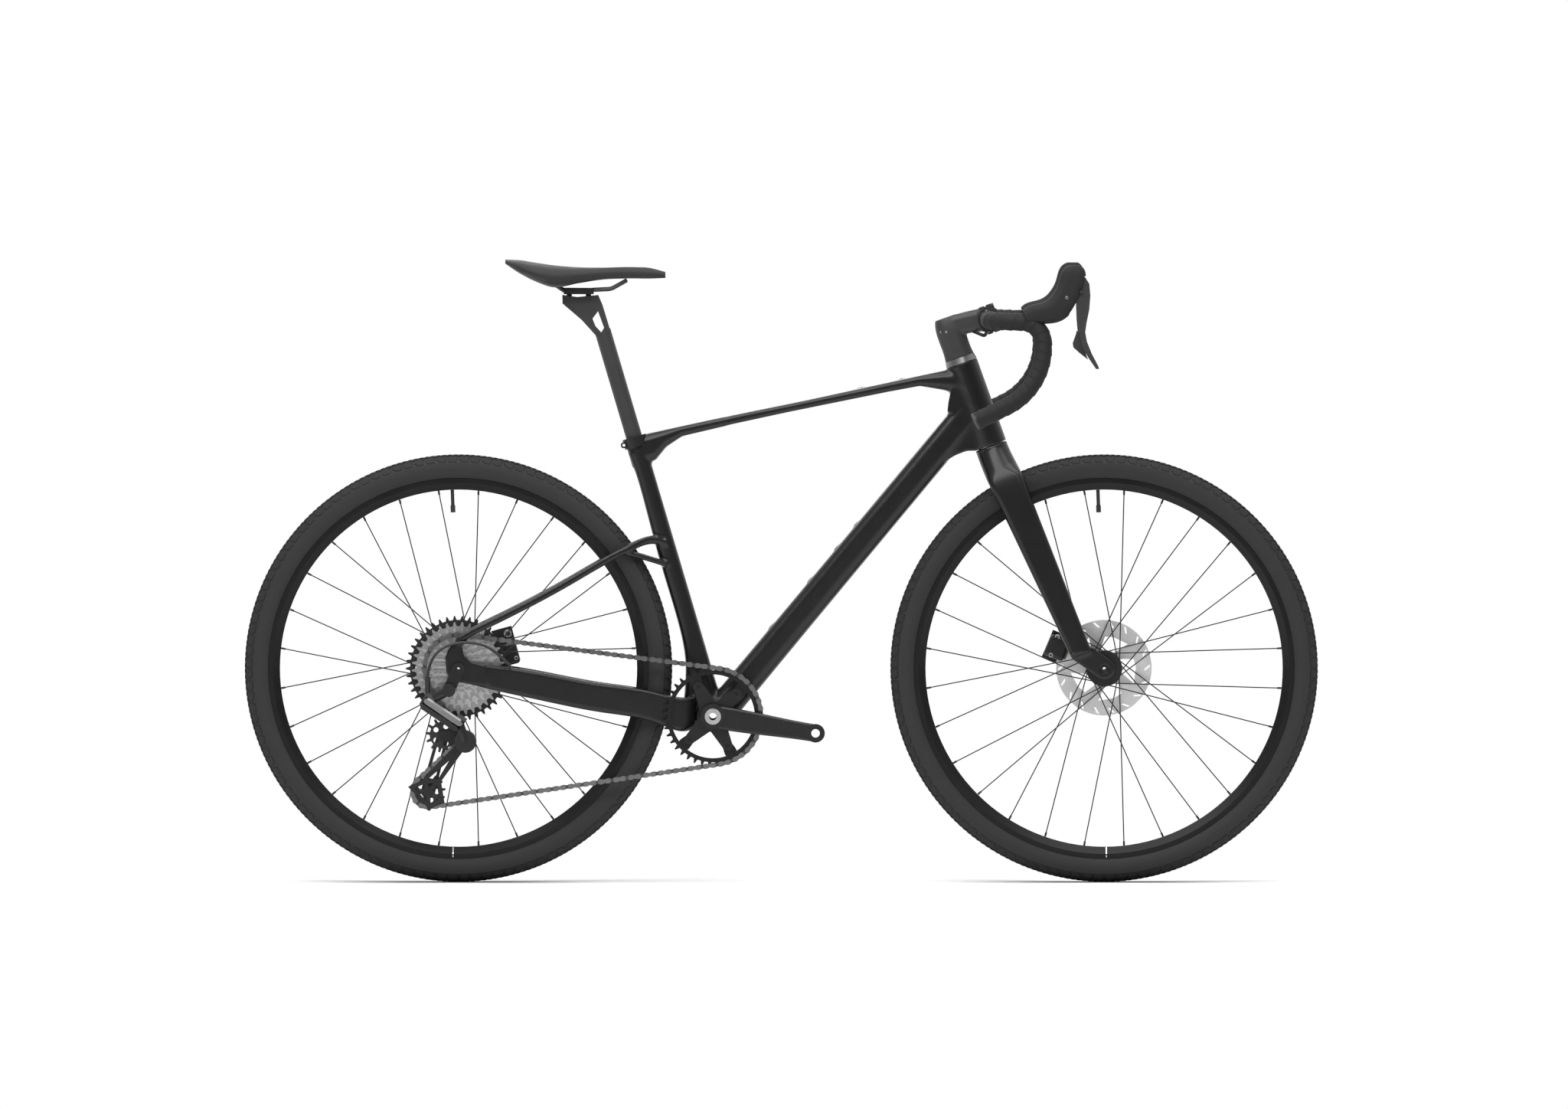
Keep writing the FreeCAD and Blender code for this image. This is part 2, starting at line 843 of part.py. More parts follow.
def make_thru_axle(name, axle, right_end, left_end):
    outline = [
        (s.thru_axle_bore, right_end),
        (s.thru_axle_radius, right_end),
        (s.thru_axle_radius, left_end),
        (s.thru_axle_head_radius, left_end),
        (s.thru_axle_head_radius, left_end + s.thru_axle_head),
        (s.thru_axle_bore, left_end + s.thru_axle_head),
    ]
    place(turned(name, [outline]), axle)


def make_valve(name, axle):
    """The stem from the rim bed towards the hub, and its cap."""
    inner = polar(axle, rim_bed - s.valve_length, s.valve_angle)
    outer = polar(axle, rim_bed - s.seat_gap, s.valve_angle)
    cap_end = polar(axle, rim_bed - s.valve_length + s.valve_cap_length, s.valve_angle)
    feature(name, Part.Compound([rod(cap_end, outer, s.valve_radius), rod(inner, cap_end, s.valve_cap_radius)]))


def make_rotor(name, axle, side, boss_end):
    """A disc with a slotted band, open windows between its arms, and its lockring."""
    blank = plate(name + "_disc", s.rotor_thick, circles=[(0, 0, s.rotor_radius)])
    pierce(blank, name + "_bore", circles=[(0, 0, s.hub_boss_radius + s.shaft_fit)])
    band = s.rotor_radius - s.rotor_band / 2
    half_length = s.rotor_slot_length / 2
    half_width = s.rotor_slot_width / 2
    slant = s.rotor_slot_width
    slot = [
        (band - half_length, -half_width - slant),
        (band + half_length, -half_width + slant),
        (band + half_length, half_width + slant),
        (band - half_length, half_width - slant),
    ]
    pierce(blank, name + "_slots", loops=[slot], count=s.rotor_slot_count)
    span_share = s.rotor_window_inner / s.rotor_window_outer
    window = [
        (s.rotor_window_inner, -s.rotor_window_span / 2 * span_share / 2),
        (s.rotor_window_outer, -s.rotor_window_span / 2),
        (s.rotor_window_outer + s.rotor_slot_width, 0),
        (s.rotor_window_outer, s.rotor_window_span / 2 * span_share),
        (s.rotor_window_inner, s.rotor_window_span / 2 * span_share),
    ]
    pierce(blank, name + "_windows", loops=[window], count=s.rotor_arm_count)
    place(blank, axle + ALONG_Y * side)
    nodes.remove(blank)
    doc.recompute()
    lock = ring(axle + ALONG_Y * boss_end, axle + ALONG_Y * (boss_end + s.lockring_thick),
                s.lockring_radius, s.hub_cap_radius + s.seat_gap)
    feature(name, Part.Compound([blank.Shape.Solids[0], lock]))


def make_wheel(end, axle, half, right_flange, left_flange, right_end, left_end, rotor_side):
    lines = spoke_lines(axle, right_flange, left_flange)
    make_tyre(end + "_tyre", axle)
    make_rim(end + "_rim", axle)
    make_spokes(end + "_spokes", lines)
    make_hub_shell(end + "_hub_shell", axle, right_flange, left_flange, right_end, left_end, lines)
    make_hub_bearings(end + "_hub_bearings", axle, right_end, left_end)
    make_hub_axle(end + "_hub_axle", axle, half, right_end if end == "front" else cassette_end, left_end)
    make_rotor(end + "_rotor", axle, rotor_side, left_end)
    make_valve(end + "_valve", axle)


# Sprockets and chain

COG_TEETH = (42, 37, 32, 28, 24, 21, 19, 17, 15, 13, 11)
COG_WINDOW_SHARES = (0.22, 0.36)
SEARCH_SHARES = (0.9, 1.2)
SEARCH_ANGLE = 30
SEARCH_STEPS = 40
cassette_end = s.largest_cog_side - s.cog_step * (len(COG_TEETH) - 1) - s.cog_thick * 2


pitch = float(s.chain_pitch)


def pitch_radius(teeth):
    return pitch / 2 / math.sin(math.pi / teeth)


def toothed_wire(centre, side, teeth, phase):
    """A sprocket's outline with a tooth gap centred on the phase angle."""
    radius = pitch_radius(teeth)
    points = []
    for number in range(int(teeth)):
        angle = math.radians(phase + number * FULL_TURN / teeth)
        out = V(math.cos(angle), 0, math.sin(angle))
        over = V(-out.z, 0, out.x)
        tip = math.sqrt((radius + s.tooth_tip_height) ** 2 - s.tooth_gap_half ** 2)
        for height, half in ((tip, -s.tooth_gap_half), (radius - s.tooth_root_depth, -s.tooth_root_half),
                             (radius - s.tooth_root_depth, s.tooth_root_half), (tip, s.tooth_gap_half)):
            spot = centre + out * height + over * half
            points.append(V(spot.x, side, spot.z))
    return Part.makePolygon(points + points[:1])


def sprocket(centre, side, teeth, phase, thick):
    wire = toothed_wire(centre, side - thick / 2, teeth, phase)
    return Part.Face(wire).extrude(ALONG_Y * thick)


def tangent_run(first, first_radius, first_turn, second, second_radius, second_turn):
    """The straight run between two sprockets, each wound one way (1) or the other (-1)."""
    gap = second - first
    lean = math.asin((first_turn * first_radius - second_turn * second_radius) / gap.Length)
    heading = math.atan2(gap.z, gap.x) + lean
    right = V(math.sin(heading), 0, -math.cos(heading))
    return first + right * (first_turn * first_radius), second + right * (second_turn * second_radius)


drive_cog_side = s.largest_cog_side - s.cog_step * s.drive_cog_index
drive_cog_teeth = COG_TEETH[int(s.drive_cog_index)]
guide_centre = rear_axle + V(s.guide_ahead, 0, -s.guide_below)


def chain_wheels(cage_angle):
    """The four wheels that the chain winds round, in the order it meets them."""
    tension = polar(guide_centre, s.pulley_spacing, -cage_angle)
    pulley = pitch_radius(s.guide_teeth)
    return (
        (bb_centre, pitch_radius(s.ring_teeth), 1, -s.chainline),
        (rear_axle, pitch_radius(drive_cog_teeth), 1, drive_cog_side),
        (guide_centre, pulley, -1, drive_cog_side),
        (tension, pulley, 1, drive_cog_side),
    )


def straight_piece(first, last):
    heading = (last - first).normalize()
    return (last - first).Length, lambda distance: first + heading * distance


def chain_path(cage_angle):
    """Arcs and runs, which stay in a wheel's plane near it: (length, function from distance to point)."""
    wheels = chain_wheels(cage_angle)
    runs = []
    for index, (centre, radius, turn, side) in enumerate(wheels):
        after = wheels[(index + 1) % len(wheels)]
        start, finish = tangent_run(centre, radius, turn, after[0], after[1], after[2])
        lead = (finish - start).normalize() * s.chain_lead
        runs.append((start + ALONG_Y * side, start + lead + ALONG_Y * side,
                     finish - lead + ALONG_Y * after[3], finish + ALONG_Y * after[3]))
    pieces = []
    for index, (centre, radius, turn, side) in enumerate(wheels):
        arrive = runs[index - 1][-1] - centre
        leave = runs[index][0] - centre
        begin = math.atan2(arrive.z, arrive.x)
        sweep = turn * (math.atan2(leave.z, leave.x) - begin) % (2 * math.pi)

        def on_arc(distance, centre=centre, radius=radius, turn=turn, begin=begin, side=side):
            angle = begin + turn * distance / radius
            return V(centre.x + radius * math.cos(angle), side, centre.z + radius * math.sin(angle))

        pieces.append((sweep * radius, on_arc))
        for first, last in zip(runs[index], runs[index][1:]):
            pieces.append(straight_piece(first, last))
    return pieces


def path_point(pieces, distance):
    for length, spot in pieces:
        if distance <= length:
            return spot(distance)
        distance -= length
    return path_point(pieces, distance)


def count_links():
    """The even number of links nearest to the path's length."""
    total = sum(length for length, _ in chain_path(float(s.cage_angle)))
    return 2 * round(total / pitch / 2)


chain_links = count_links()


def walk_chain(cage_angle):
    """Pin places a pitch apart along the path, and how far the last overshoots the first."""
    pieces = chain_path(cage_angle)
    total = sum(length for length, _ in pieces)
    distance = pieces[0][0] / 2
    goal = distance + total
    pins = [path_point(pieces, distance)]
    for _ in range(chain_links):
        low = distance + pitch * SEARCH_SHARES[0]
        high = distance + pitch * SEARCH_SHARES[1]
        for _ in range(SEARCH_STEPS):
            middle = (low + high) / 2
            if (path_point(pieces, middle) - pins[-1]).Length < pitch:
                low = middle
            else:
                high = middle
        distance = low
        pins.append(path_point(pieces, distance))
    return pins, distance - goal


def settle_cage():
    """The cage angle at which a whole number of links closes the chain."""
    low = float(s.cage_angle) - SEARCH_ANGLE
    high = float(s.cage_angle) + SEARCH_ANGLE
    rising = walk_chain(high)[1] > walk_chain(low)[1]
    for _ in range(SEARCH_STEPS):
        middle = (low + high) / 2
        if (walk_chain(middle)[1] > 0) == rising:
            high = middle
        else:
            low = middle
    return (low + high) / 2


cage_rest = settle_cage()
chain_pins = walk_chain(cage_rest)[0][:-1]
tension_centre = polar(guide_centre, s.pulley_spacing, -cage_rest)


def tooth_phase(centre, teeth, side):
    """The angle of a chain pin that lies on a wheel's pitch circle."""
    radius = pitch_radius(teeth)
    for pin in chain_pins:
        spoke = V(pin.x - centre.x, 0, pin.z - centre.z)
        if abs(spoke.Length - radius) < radius / 1e6 and abs(pin.y - side) < radius / 1e6:
            return math.degrees(math.atan2(spoke.z, spoke.x))
    return 0.0


def link_outline(half_height, waist, low_side, high_side):
    """A chain plate round two pins a pitch apart, with a narrow waist."""
    half = s.chain_pitch / 2
    bevel = half_height * 0.45
    nose = half + half_height
    quarter = [(0, waist), (half - bevel, half_height), (half + bevel, half_height), (nose, bevel)]
    outline = quarter + [(x, -z) for x, z in reversed(quarter[1:])]
    outline += [(-x, z) for x, z in [(0, -waist)] + [(x, -z) for x, z in quarter[1:]]]
    outline += [(-x, z) for x, z in reversed(quarter[1:])]
    return prism(outline, low_side, high_side)


def make_link(inner):
    """One link lying along X with its pins half a pitch from the origin."""
    half_width = s.chain_inner_width / 2
    low = half_width if inner else half_width + s.chain_plate + s.chain_plate_gap
    high = low + s.chain_plate
    plates = [
        link_outline(s.chain_plate_height / 2, s.chain_waist_height / 2, low, high),
        link_outline(s.chain_plate_height / 2, s.chain_waist_height / 2, -high, -low),
    ]
    ends = [V(-s.chain_pitch / 2, 0, 0), V(s.chain_pitch / 2, 0, 0)]
    if not inner:
        pins = [crosswise(end, -high, high, s.chain_pin_radius) for end in ends]
        return plates[0].multiFuse(plates[1:] + pins)
    rollers = [crosswise(end, -low, low, s.chain_roller_radius) for end in ends]
    whole = plates[0].multiFuse(plates[1:] + rollers)
    bores = [crosswise(end, -high, high, s.chain_pin_radius + s.shaft_fit) for end in ends]
    return whole.cut(Part.Compound(bores))


def make_chain():
    shapes = (make_link(True), make_link(False))
    links = []
    for index, pin in enumerate(chain_pins):
        after = chain_pins[(index + 1) % len(chain_pins)]
        along = (after - pin).normalize()
        over = along.cross(V(0, -1, 0)).normalize()
        side = over.cross(along)
        turn = FreeCAD.Rotation(along, side, over, "XYZ")
        links.append(shapes[index % 2].transformed(FreeCAD.Placement((pin + after) / 2, turn).toMatrix()))
    feature("chain", Part.Compound(links))


def make_cassette():
    """Twelve cogs, each with the spacer that stands it off the next smaller one."""
    bore = s.freehub_radius + s.shaft_fit
    spacer = bore + s.cog_spacer_wall
    cogs = []
    for index, teeth in enumerate(COG_TEETH):
        side = s.largest_cog_side - s.cog_step * index
        phase = tooth_phase(rear_axle, drive_cog_teeth, drive_cog_side) if index == s.drive_cog_index else 90
        blank = sprocket(rear_axle, side, teeth, phase, s.cog_thick)
        low = side - s.cog_step + s.cog_thick / 2
        if index < len(COG_TEETH) - 1:
            blank = blank.fuse(crosswise(rear_axle, low, side, spacer))
        cuts = [crosswise(rear_axle, low - s.cut_overrun, side + s.cut_overrun, bore)]
        hub = spacer + s.cog_hub
        rim = pitch_radius(teeth) - s.cog_rim
        narrow = (rim - hub) * COG_WINDOW_SHARES[0]
        wide = (rim - hub) * COG_WINDOW_SHARES[1]
        if narrow > s.cog_thick / 2:
            for number in range(int(s.cog_window_count)):
                angle = number * FULL_TURN / s.cog_window_count
                inner = polar(rear_axle, hub + narrow, angle)
                outer = polar(rear_axle, rim - wide, angle)
                cuts.append(hull_plate(inner, narrow, outer, wide, low, side + s.cut_overrun))
        cogs.append(blank.cut(Part.Compound(cuts)))
    feature("cassette_sprockets", Part.Compound(cogs))


def make_freehub():
    inner = s.rear_hub_right_end - s.seat_gap
    outline = [
        (s.hub_axle_radius + s.shaft_fit, cassette_end),
        (s.freehub_radius, cassette_end),
        (s.freehub_radius, inner),
        (s.hub_axle_radius + s.shaft_fit, inner),
    ]
    place(turned("freehub_body", [outline]), rear_axle)


# Crankset

RING_BOLT_ANGLES = (44, 116, 224.5, 296.5)
CRANK_ARM_SHARES = ((0, 1.0, 1.0), (0.3, 1.0, 1.0), (0.65, 0.86, 0.95), (1, 0.78, 0.84))
pedal_right = polar(bb_centre, s.crank_length, s.crank_angle)
pedal_left = polar(bb_centre, s.crank_length, s.crank_angle + 180)


def make_chainring():
    """A toothed ring with four tabs, and the bolts that hold it to the spider."""
    phase = tooth_phase(bb_centre, s.ring_teeth, -s.chainline)
    low = -s.chainline - s.ring_thick / 2
    high = -s.chainline + s.ring_thick / 2
    disc = sprocket(bb_centre, -s.chainline, s.ring_teeth, phase, s.ring_thick)
    disc = disc.cut(crosswise(bb_centre, low, high, s.ring_inner_radius))
    tooth_root = pitch_radius(s.ring_teeth) - s.tooth_root_depth - s.seat_gap
    foot_radius = s.ring_tab_radius + s.ring_thick
    tabs = []
    holes = []
    bolts = []
    for angle in RING_BOLT_ANGLES:
        spot = polar(bb_centre, s.ring_bolt_circle, angle)
        foot = polar(bb_centre, tooth_root - foot_radius, angle)
        tabs.append(hull_plate(foot, foot_radius, spot, s.ring_tab_radius, low, high))
        holes.append(crosswise(spot, low, high, s.ring_bolt_radius + s.shaft_fit))
        shank = crosswise(spot, low - s.spider_thick, high, s.ring_bolt_radius)
        head = crosswise(spot, high, high + s.ring_bolt_head, s.ring_bolt_head_radius)
        bolts.append(shank.fuse(head))
    whole = disc.multiFuse(tabs).cut(Part.Compound(holes))
    feature("chainring", Part.Compound(whole.Solids + bolts))


def crank_arm(pedal, sign):
    """An arm that tapers outward from the spindle boss to the pedal eye."""
    along = (pedal - bb_centre).normalize()
    across = V(-along.z, 0, along.x)
    stations = []
    inner_side = (s.crank_boss_inner + s.crank_boss_outer) / 2
    outer_side = (s.crank_end_inner + s.crank_end_outer) / 2
    for share, width_share, thick_share in CRANK_ARM_SHARES:
        centre = bb_centre + along * (s.crank_length * share)
        centre.y = sign * (inner_side + (outer_side - inner_side) * share)
        stations.append(section(centre, across, s.crank_arm_width / 2 * width_share,
                                s.crank_arm_thick / 2 * thick_share, 0.6))
    boss_sides = sorted((sign * s.crank_boss_inner, sign * s.crank_boss_outer))
    boss = crosswise(bb_centre, *boss_sides, s.crank_boss_radius)
    eye_sides = sorted((sign * s.crank_end_inner, sign * s.crank_end_outer))
    eye = crosswise(pedal, *eye_sides, s.crank_end_radius)
    return [loft(stations), boss, eye]


def spider_arms():
    """The four arms that carry the ring's tabs, beside the ring."""
    high = -s.chainline - s.ring_thick / 2
    arms = []
    for angle in RING_BOLT_ANGLES:
        spot = polar(bb_centre, s.ring_bolt_circle, angle)
        arms.append(hull_plate(bb_centre, s.spider_root_radius, spot, s.spider_end_radius,
                               high - s.spider_thick, high))
    return arms


def make_cranks():
    """Each arm with its cap, and the spindle that is bonded into the right one."""
    cap_side = s.crank_boss_outer - s.crank_cap_thick
    outer = s.crank_boss_outer + s.cut_overrun
    reach = ALONG_Y * cap_side
    spindle = ring(bb_centre - reach, bb_centre + reach, s.spindle_radius, s.spindle_bore)
    for name, sign, pedal in (("crank_right", -1, pedal_right), ("crank_left", 1, pedal_left)):
        pieces = crank_arm(pedal, sign)
        loose = [crank_cap(sign)]
        cuts = [
            crosswise(pedal, *sorted((0, sign * (s.crank_end_outer + s.cut_overrun))), s.pedal_hole_radius),
            crosswise(bb_centre, *sorted((0, sign * outer)), s.spindle_radius + s.shaft_fit),
            crosswise(bb_centre, *sorted((sign * cap_side, sign * outer)), s.crank_cap_radius),
        ]
        if sign < 0:
            pieces += spider_arms()
            loose.append(spindle)
            for angle in RING_BOLT_ANGLES:
                spot = polar(bb_centre, s.ring_bolt_circle, angle)
                cuts.append(crosswise(spot, -outer, 0, s.ring_bolt_radius + s.shaft_fit))
        arm = joined(pieces)
        for cut in cuts:
            arm = arm.cut(cut)
        feature(name, Part.Compound(arm.Solids + loose))


def crank_cap(sign):
    """The alloy ring that closes the outer end of the spindle."""
    inner = bb_centre + ALONG_Y * (sign * (s.crank_boss_outer - s.crank_cap_thick))
    outer = bb_centre + ALONG_Y * (sign * s.crank_boss_outer)
    return ring(inner, outer, s.crank_cap_radius - s.shaft_fit, s.crank_cap_bore)


def make_bb_cups():
    """A bearing cup screwed into each side of the shell, with a flange outside it."""
    cups = []
    for sign in SIDES.values():
        flange = ring(bb_centre + ALONG_Y * (sign * s.bb_shell_half),
                      bb_centre + ALONG_Y * (sign * (s.bb_shell_half + s.bb_cup_flange)),
                      s.bb_cup_radius, s.spindle_radius + s.shaft_fit)
        sleeve = ring(bb_centre + ALONG_Y * (sign * (s.bb_shell_half - s.bb_cup_depth)),
                      bb_centre + ALONG_Y * (sign * s.bb_shell_half),
                      s.bb_cup_sleeve, s.spindle_radius + s.shaft_fit)
        cups.append(flange.fuse(sleeve).removeSplitter())
    feature("bottom_bracket_cups", Part.Compound(cups))


# Rear derailleur

dropout_outer = s.rear_hub_half + s.dropout_thick
hanger_eye = rear_axle + V(s.hanger_ahead, 0, -s.hanger_below)
hanger_outer = -dropout_outer - s.hanger_thick
knuckle_centre = guide_centre + V(s.knuckle_ahead, 0, -s.knuckle_below)
link_vector = V(s.link_run, 0, -s.link_fall)
link_along = V(link_vector).normalize()
SHIFT_SHARES = (-0.54, 1, -0.8)
GUARD_SHARES = ((0.02, 1.05), (0.83, -0.27), (0.34, -0.96), (-0.8, -0.45), (-0.53, 0.34))
GUARD_WINDOW_SHARE = 0.68
shift_push = V(*SHIFT_SHARES)
link_axis = link_along.cross(shift_push).normalize()
link_over = link_axis.cross(link_along)
outer_pivot = rear_axle + V(s.link_pivot_ahead, s.link_pivot_side, -s.link_pivot_below)
inner_pivot = outer_pivot + link_over * s.link_spread


def make_hanger():
    body = hull_plate(rear_axle, s.hanger_top_radius, hanger_eye, s.hanger_eye_radius,
                      hanger_outer, -dropout_outer)
    holes = [
        crosswise(rear_axle, hanger_outer, -dropout_outer, s.thru_axle_radius + s.shaft_fit),
        crosswise(hanger_eye, hanger_outer, -dropout_outer, s.b_bolt_radius + s.shaft_fit),
    ]
    feature("derailleur_hanger", body.cut(Part.Compound(holes)))


def pivot_lug(middle):
    """The block of a knuckle that the two links are pinned to, beside their plane."""
    turn = FreeCAD.Rotation(link_along, link_over, link_axis, "XYZ")
    wide = s.link_spread + 2 * s.link_end_radius
    block = Part.makeBox(s.lug_length, wide, s.lug_thick, V(-s.lug_length / 2, -wide / 2, 0))
    return block.transformed(FreeCAD.Placement(middle, turn).toMatrix())


def pin_holes(spots):
    reach = link_axis * (s.lug_thick + s.cut_overrun)
    return Part.Compound([rod(spot - reach, spot + reach, s.link_pin_radius + s.shaft_fit) for spot in spots])


def make_knuckles():
    """The fixed knuckle on the hanger and the moving one that carries the cage."""
    spots = (outer_pivot, inner_pivot)
    middle = (outer_pivot + inner_pivot) / 2
    outer = hanger_outer - s.seat_gap
    barrel = crosswise(hanger_eye, s.b_knuckle_outer_side, outer, s.b_knuckle_radius)
    heart = V(hanger_eye.x, (outer + s.b_knuckle_outer_side) / 2, hanger_eye.z)
    lug_heart = middle + link_axis * (s.lug_thick / 2)
    strut = rod(heart, lug_heart, s.knuckle_strut_radius)
    below = pivot_lug(middle - link_axis * s.lug_thick)
    stem_bolt = crosswise(hanger_eye, outer, -dropout_outer, s.b_bolt_radius)
    along, out, rise = HOUSING_SHARES[-1]
    port = rear_axle + V(s.housing_span * along, -dropout_outer * out, s.housing_rise * rise)
    ferrule = rod(port, lug_heart, s.ferrule_radius)
    hanger_room = hull_plate(rear_axle, s.hanger_top_radius + s.seat_gap, hanger_eye,
                             s.hanger_eye_radius + s.seat_gap, outer, -dropout_outer)
    knuckle = barrel.multiFuse([strut, pivot_lug(middle), ferrule]).cut(hanger_room).fuse(stem_bolt)
    feature("derailleur_b_knuckle", knuckle.cut(below).cut(pin_holes(spots)))

    spots = [spot + link_vector for spot in spots]
    middle = middle + link_vector
    inner = drive_cog_side - s.cage_half_gap - s.cage_plate - s.seat_gap
    barrel = crosswise(knuckle_centre, s.knuckle_outer_side, inner, s.knuckle_radius)
    lug_heart = middle + link_axis * (s.lug_thick / 2)
    heart = V(knuckle_centre.x, lug_heart.y, knuckle_centre.z)
    strut = rod(heart, lug_heart, s.knuckle_strut_radius)
    below = pivot_lug(middle - link_axis * s.lug_thick)
    knuckle = barrel.multiFuse([strut, pivot_lug(middle)]).cut(below).cut(pin_holes(spots))
    bore = crosswise(knuckle_centre, inner - s.knuckle_radius, inner, s.cage_pin_radius + s.shaft_fit)
    feature("derailleur_p_knuckle", knuckle.cut(bore))


def make_derailleur_link(name, pivot):
    """A parallelogram link with a pin fixed in each end."""
    turn = FreeCAD.Rotation(link_along, link_axis * -1, link_over, "XYZ")
    far = V(link_vector.Length, 0, 0)
    near = V(0, 0, 0)
    back = s.seat_gap + s.link_thick
    arm = hull_plate(near, s.link_end_radius, far, s.link_end_radius, s.seat_gap, back)
    pins = [crosswise(end, -s.lug_thick, back, s.link_pin_radius) for end in (near, far)]
    link = joined([arm] + pins)
    feature(name, link.transformed(FreeCAD.Placement(pivot, turn).toMatrix()))


def cage_point(centre, along_share, across_share):
    """A place beside a pulley, in shares of the guard's reach along and across the cage."""
    along = (tension_centre - guide_centre).normalize()
    across = V(along.z, 0, -along.x)
    return centre + along * (s.cage_guard_reach * along_share) + across * (s.cage_guard_reach * across_share)


def cage_prism(shares, scale, low, high):
    spots = [cage_point(tension_centre, along * scale, across * scale) for along, across in shares]
    return prism([(spot.x, spot.z) for spot in spots], low, high)


def cage_outer_plate(low, high):
    """A slim forked arm from the knuckle, with an open guard round the tension pulley."""
    window = cage_prism(GUARD_SHARES, GUARD_WINDOW_SHARE, low, high)
    guard = cage_prism(GUARD_SHARES, 1, low, high).cut(window)
    corners = [cage_point(tension_centre, along, across) for along, across in GUARD_SHARES]
    pieces = [guard, crosswise(tension_centre, low, high, s.cage_hub_radius)]
    for corner in (corners[1], corners[3], corners[4]):
        pieces.append(hull_plate(tension_centre, s.cage_arm_radius, corner, s.cage_arm_radius, low, high))
    for corner in corners[3:]:
        pieces.append(hull_plate(knuckle_centre, s.cage_arm_radius * 2, corner, s.cage_arm_radius, low, high))
    pieces.append(hull_plate(knuckle_centre, s.cage_knuckle_radius, guide_centre, s.cage_hub_radius, low, high))
    return joined(pieces)


def make_cage():
    """Two plates joined by the pulley pins, with the pin that turns in the knuckle."""
    outer = drive_cog_side - s.cage_half_gap
    inner = drive_cog_side + s.cage_half_gap
    near = cage_outer_plate(outer - s.cage_plate, outer)
    far = hull_plate(guide_centre, s.cage_guide_radius, tension_centre, s.cage_tension_radius,
                     inner, inner + s.cage_plate)
    span = (tension_centre - guide_centre) / 2 + guide_centre
    slot = (tension_centre - guide_centre) * 0.26
    window = hull_plate(span - slot, s.cage_guide_radius * 0.5, span + slot, s.cage_guide_radius * 0.6,
                        inner, inner + s.cage_plate)
    pins = [crosswise(centre, outer - s.cage_plate, inner + s.cage_plate, s.pulley_pin_radius)
            for centre in (guide_centre, tension_centre)]
    pivot_end = outer - s.cage_plate - s.knuckle_radius + s.seat_gap
    pivot = crosswise(knuckle_centre, pivot_end, outer, s.cage_pin_radius)
    feature("derailleur_cage", joined([near, far.cut(window)] + pins + [pivot]))


def make_pulley(name, centre):
    phase = tooth_phase(centre, s.guide_teeth, drive_cog_side)
    wheel = sprocket(centre, drive_cog_side, s.guide_teeth, phase, s.pulley_thick)
    half = s.cage_half_gap - s.seat_gap
    boss = crosswise(centre, drive_cog_side - half, drive_cog_side + half, s.pulley_pin_radius * 2)
    bores = [crosswise(centre, drive_cog_side - half, drive_cog_side + half, s.pulley_pin_radius + s.shaft_fit)]
    for index in range(int(s.pulley_window_count)):
        spot = polar(centre, s.pulley_window_circle, index * FULL_TURN / int(s.pulley_window_count))
        bores.append(crosswise(spot, drive_cog_side - half, drive_cog_side + half, s.pulley_window_radius))
    feature(name, joined([wheel, boss]).cut(Part.Compound(bores)))


# Fork, headset and stem

WHEEL_WELL_SHARES = ((0.0, 1.0), (0.93, 1.0), (1.0, 0.5))
BLADE_SHARES = ((0.0, 0.0), (0.3, 0.22), (0.62, 0.6), (1.0, 1.0))
BLADE_ROOT_SHARES = ((0.04, 0.34, 0.99, 0.0), (0.4, 0.68, 1.02, 0.35))


def wheel_well(axle):
    """The space that a turning wheel needs, with rounded shoulders."""
    radius = s.wheel_radius + s.tyre_clearance
    half = s.tyre_section_radius + s.tyre_clearance
    profile = [V(radius * out, half * wide, 0) for out, wide in WHEEL_WELL_SHARES]
    profile += [V(point.x, -point.y, 0) for point in reversed(profile)]
    face = Part.Face(Part.makePolygon(profile + profile[:1]))
    well = face.revolve(V(0, 0, 0), ALONG_Y, FULL_TURN)
    well.translate(axle)
    return well


def steerer():
    low = s.head_low - s.crown_gap - s.cut_overrun
    base = s.head_low + s.steerer_base_height
    lower = rod(on_steer(low), on_steer(base), s.steerer_base_radius)
    cone = Part.makeCone(s.steerer_base_radius, s.steerer_radius, s.steerer_taper, on_steer(base), steer_up)
    upper = rod(on_steer(base + s.steerer_taper), on_steer(s.steerer_top), s.steerer_radius)
    return [lower, cone, upper]


def fork_blade(sign):
    top = on_steer(s.blade_top_height, s.blade_top_ahead)
    low = on_steer(s.blade_low_height, s.blade_low_ahead)
    along = (low - top).normalize()
    across = V(-along.z, 0, along.x)
    crown_top = s.head_low - s.crown_gap
    stations = []
    for fall, side_share, depth_share, ahead_share in BLADE_ROOT_SHARES:
        centre = on_steer(crown_top - s.crown_depth * fall, s.blade_top_ahead * ahead_share,
                          sign * s.blade_top_side * side_share)
        stations.append(section(centre, steer_ahead, s.head_low_radius * depth_share,
                                s.blade_top_width / 2, 0.85))
    for share, side_share in BLADE_SHARES:
        centre = top + (low - top) * share
        centre.y = sign * (s.blade_top_side + (s.blade_low_side - s.blade_top_side) * side_share)
        depth = s.blade_top_depth + (s.blade_low_depth - s.blade_top_depth) * share
        width = s.blade_top_width + (s.blade_low_width - s.blade_top_width) * share
        stations.append(section(centre, across, depth / 2, width / 2, 0.85))
    return loft(stations)


def fork_end(sign):
    """The lug that the hub sits against, drawn out from the foot of the blade."""
    low = sign * s.front_hub_half
    high = sign * (s.front_hub_half + s.fork_end_thick)
    sides = sorted((low, high))
    top = on_steer(s.blade_low_height, s.blade_low_ahead)
    return hull_plate(top, s.blade_low_depth / 2, front_axle, s.fork_end_radius, *sides)


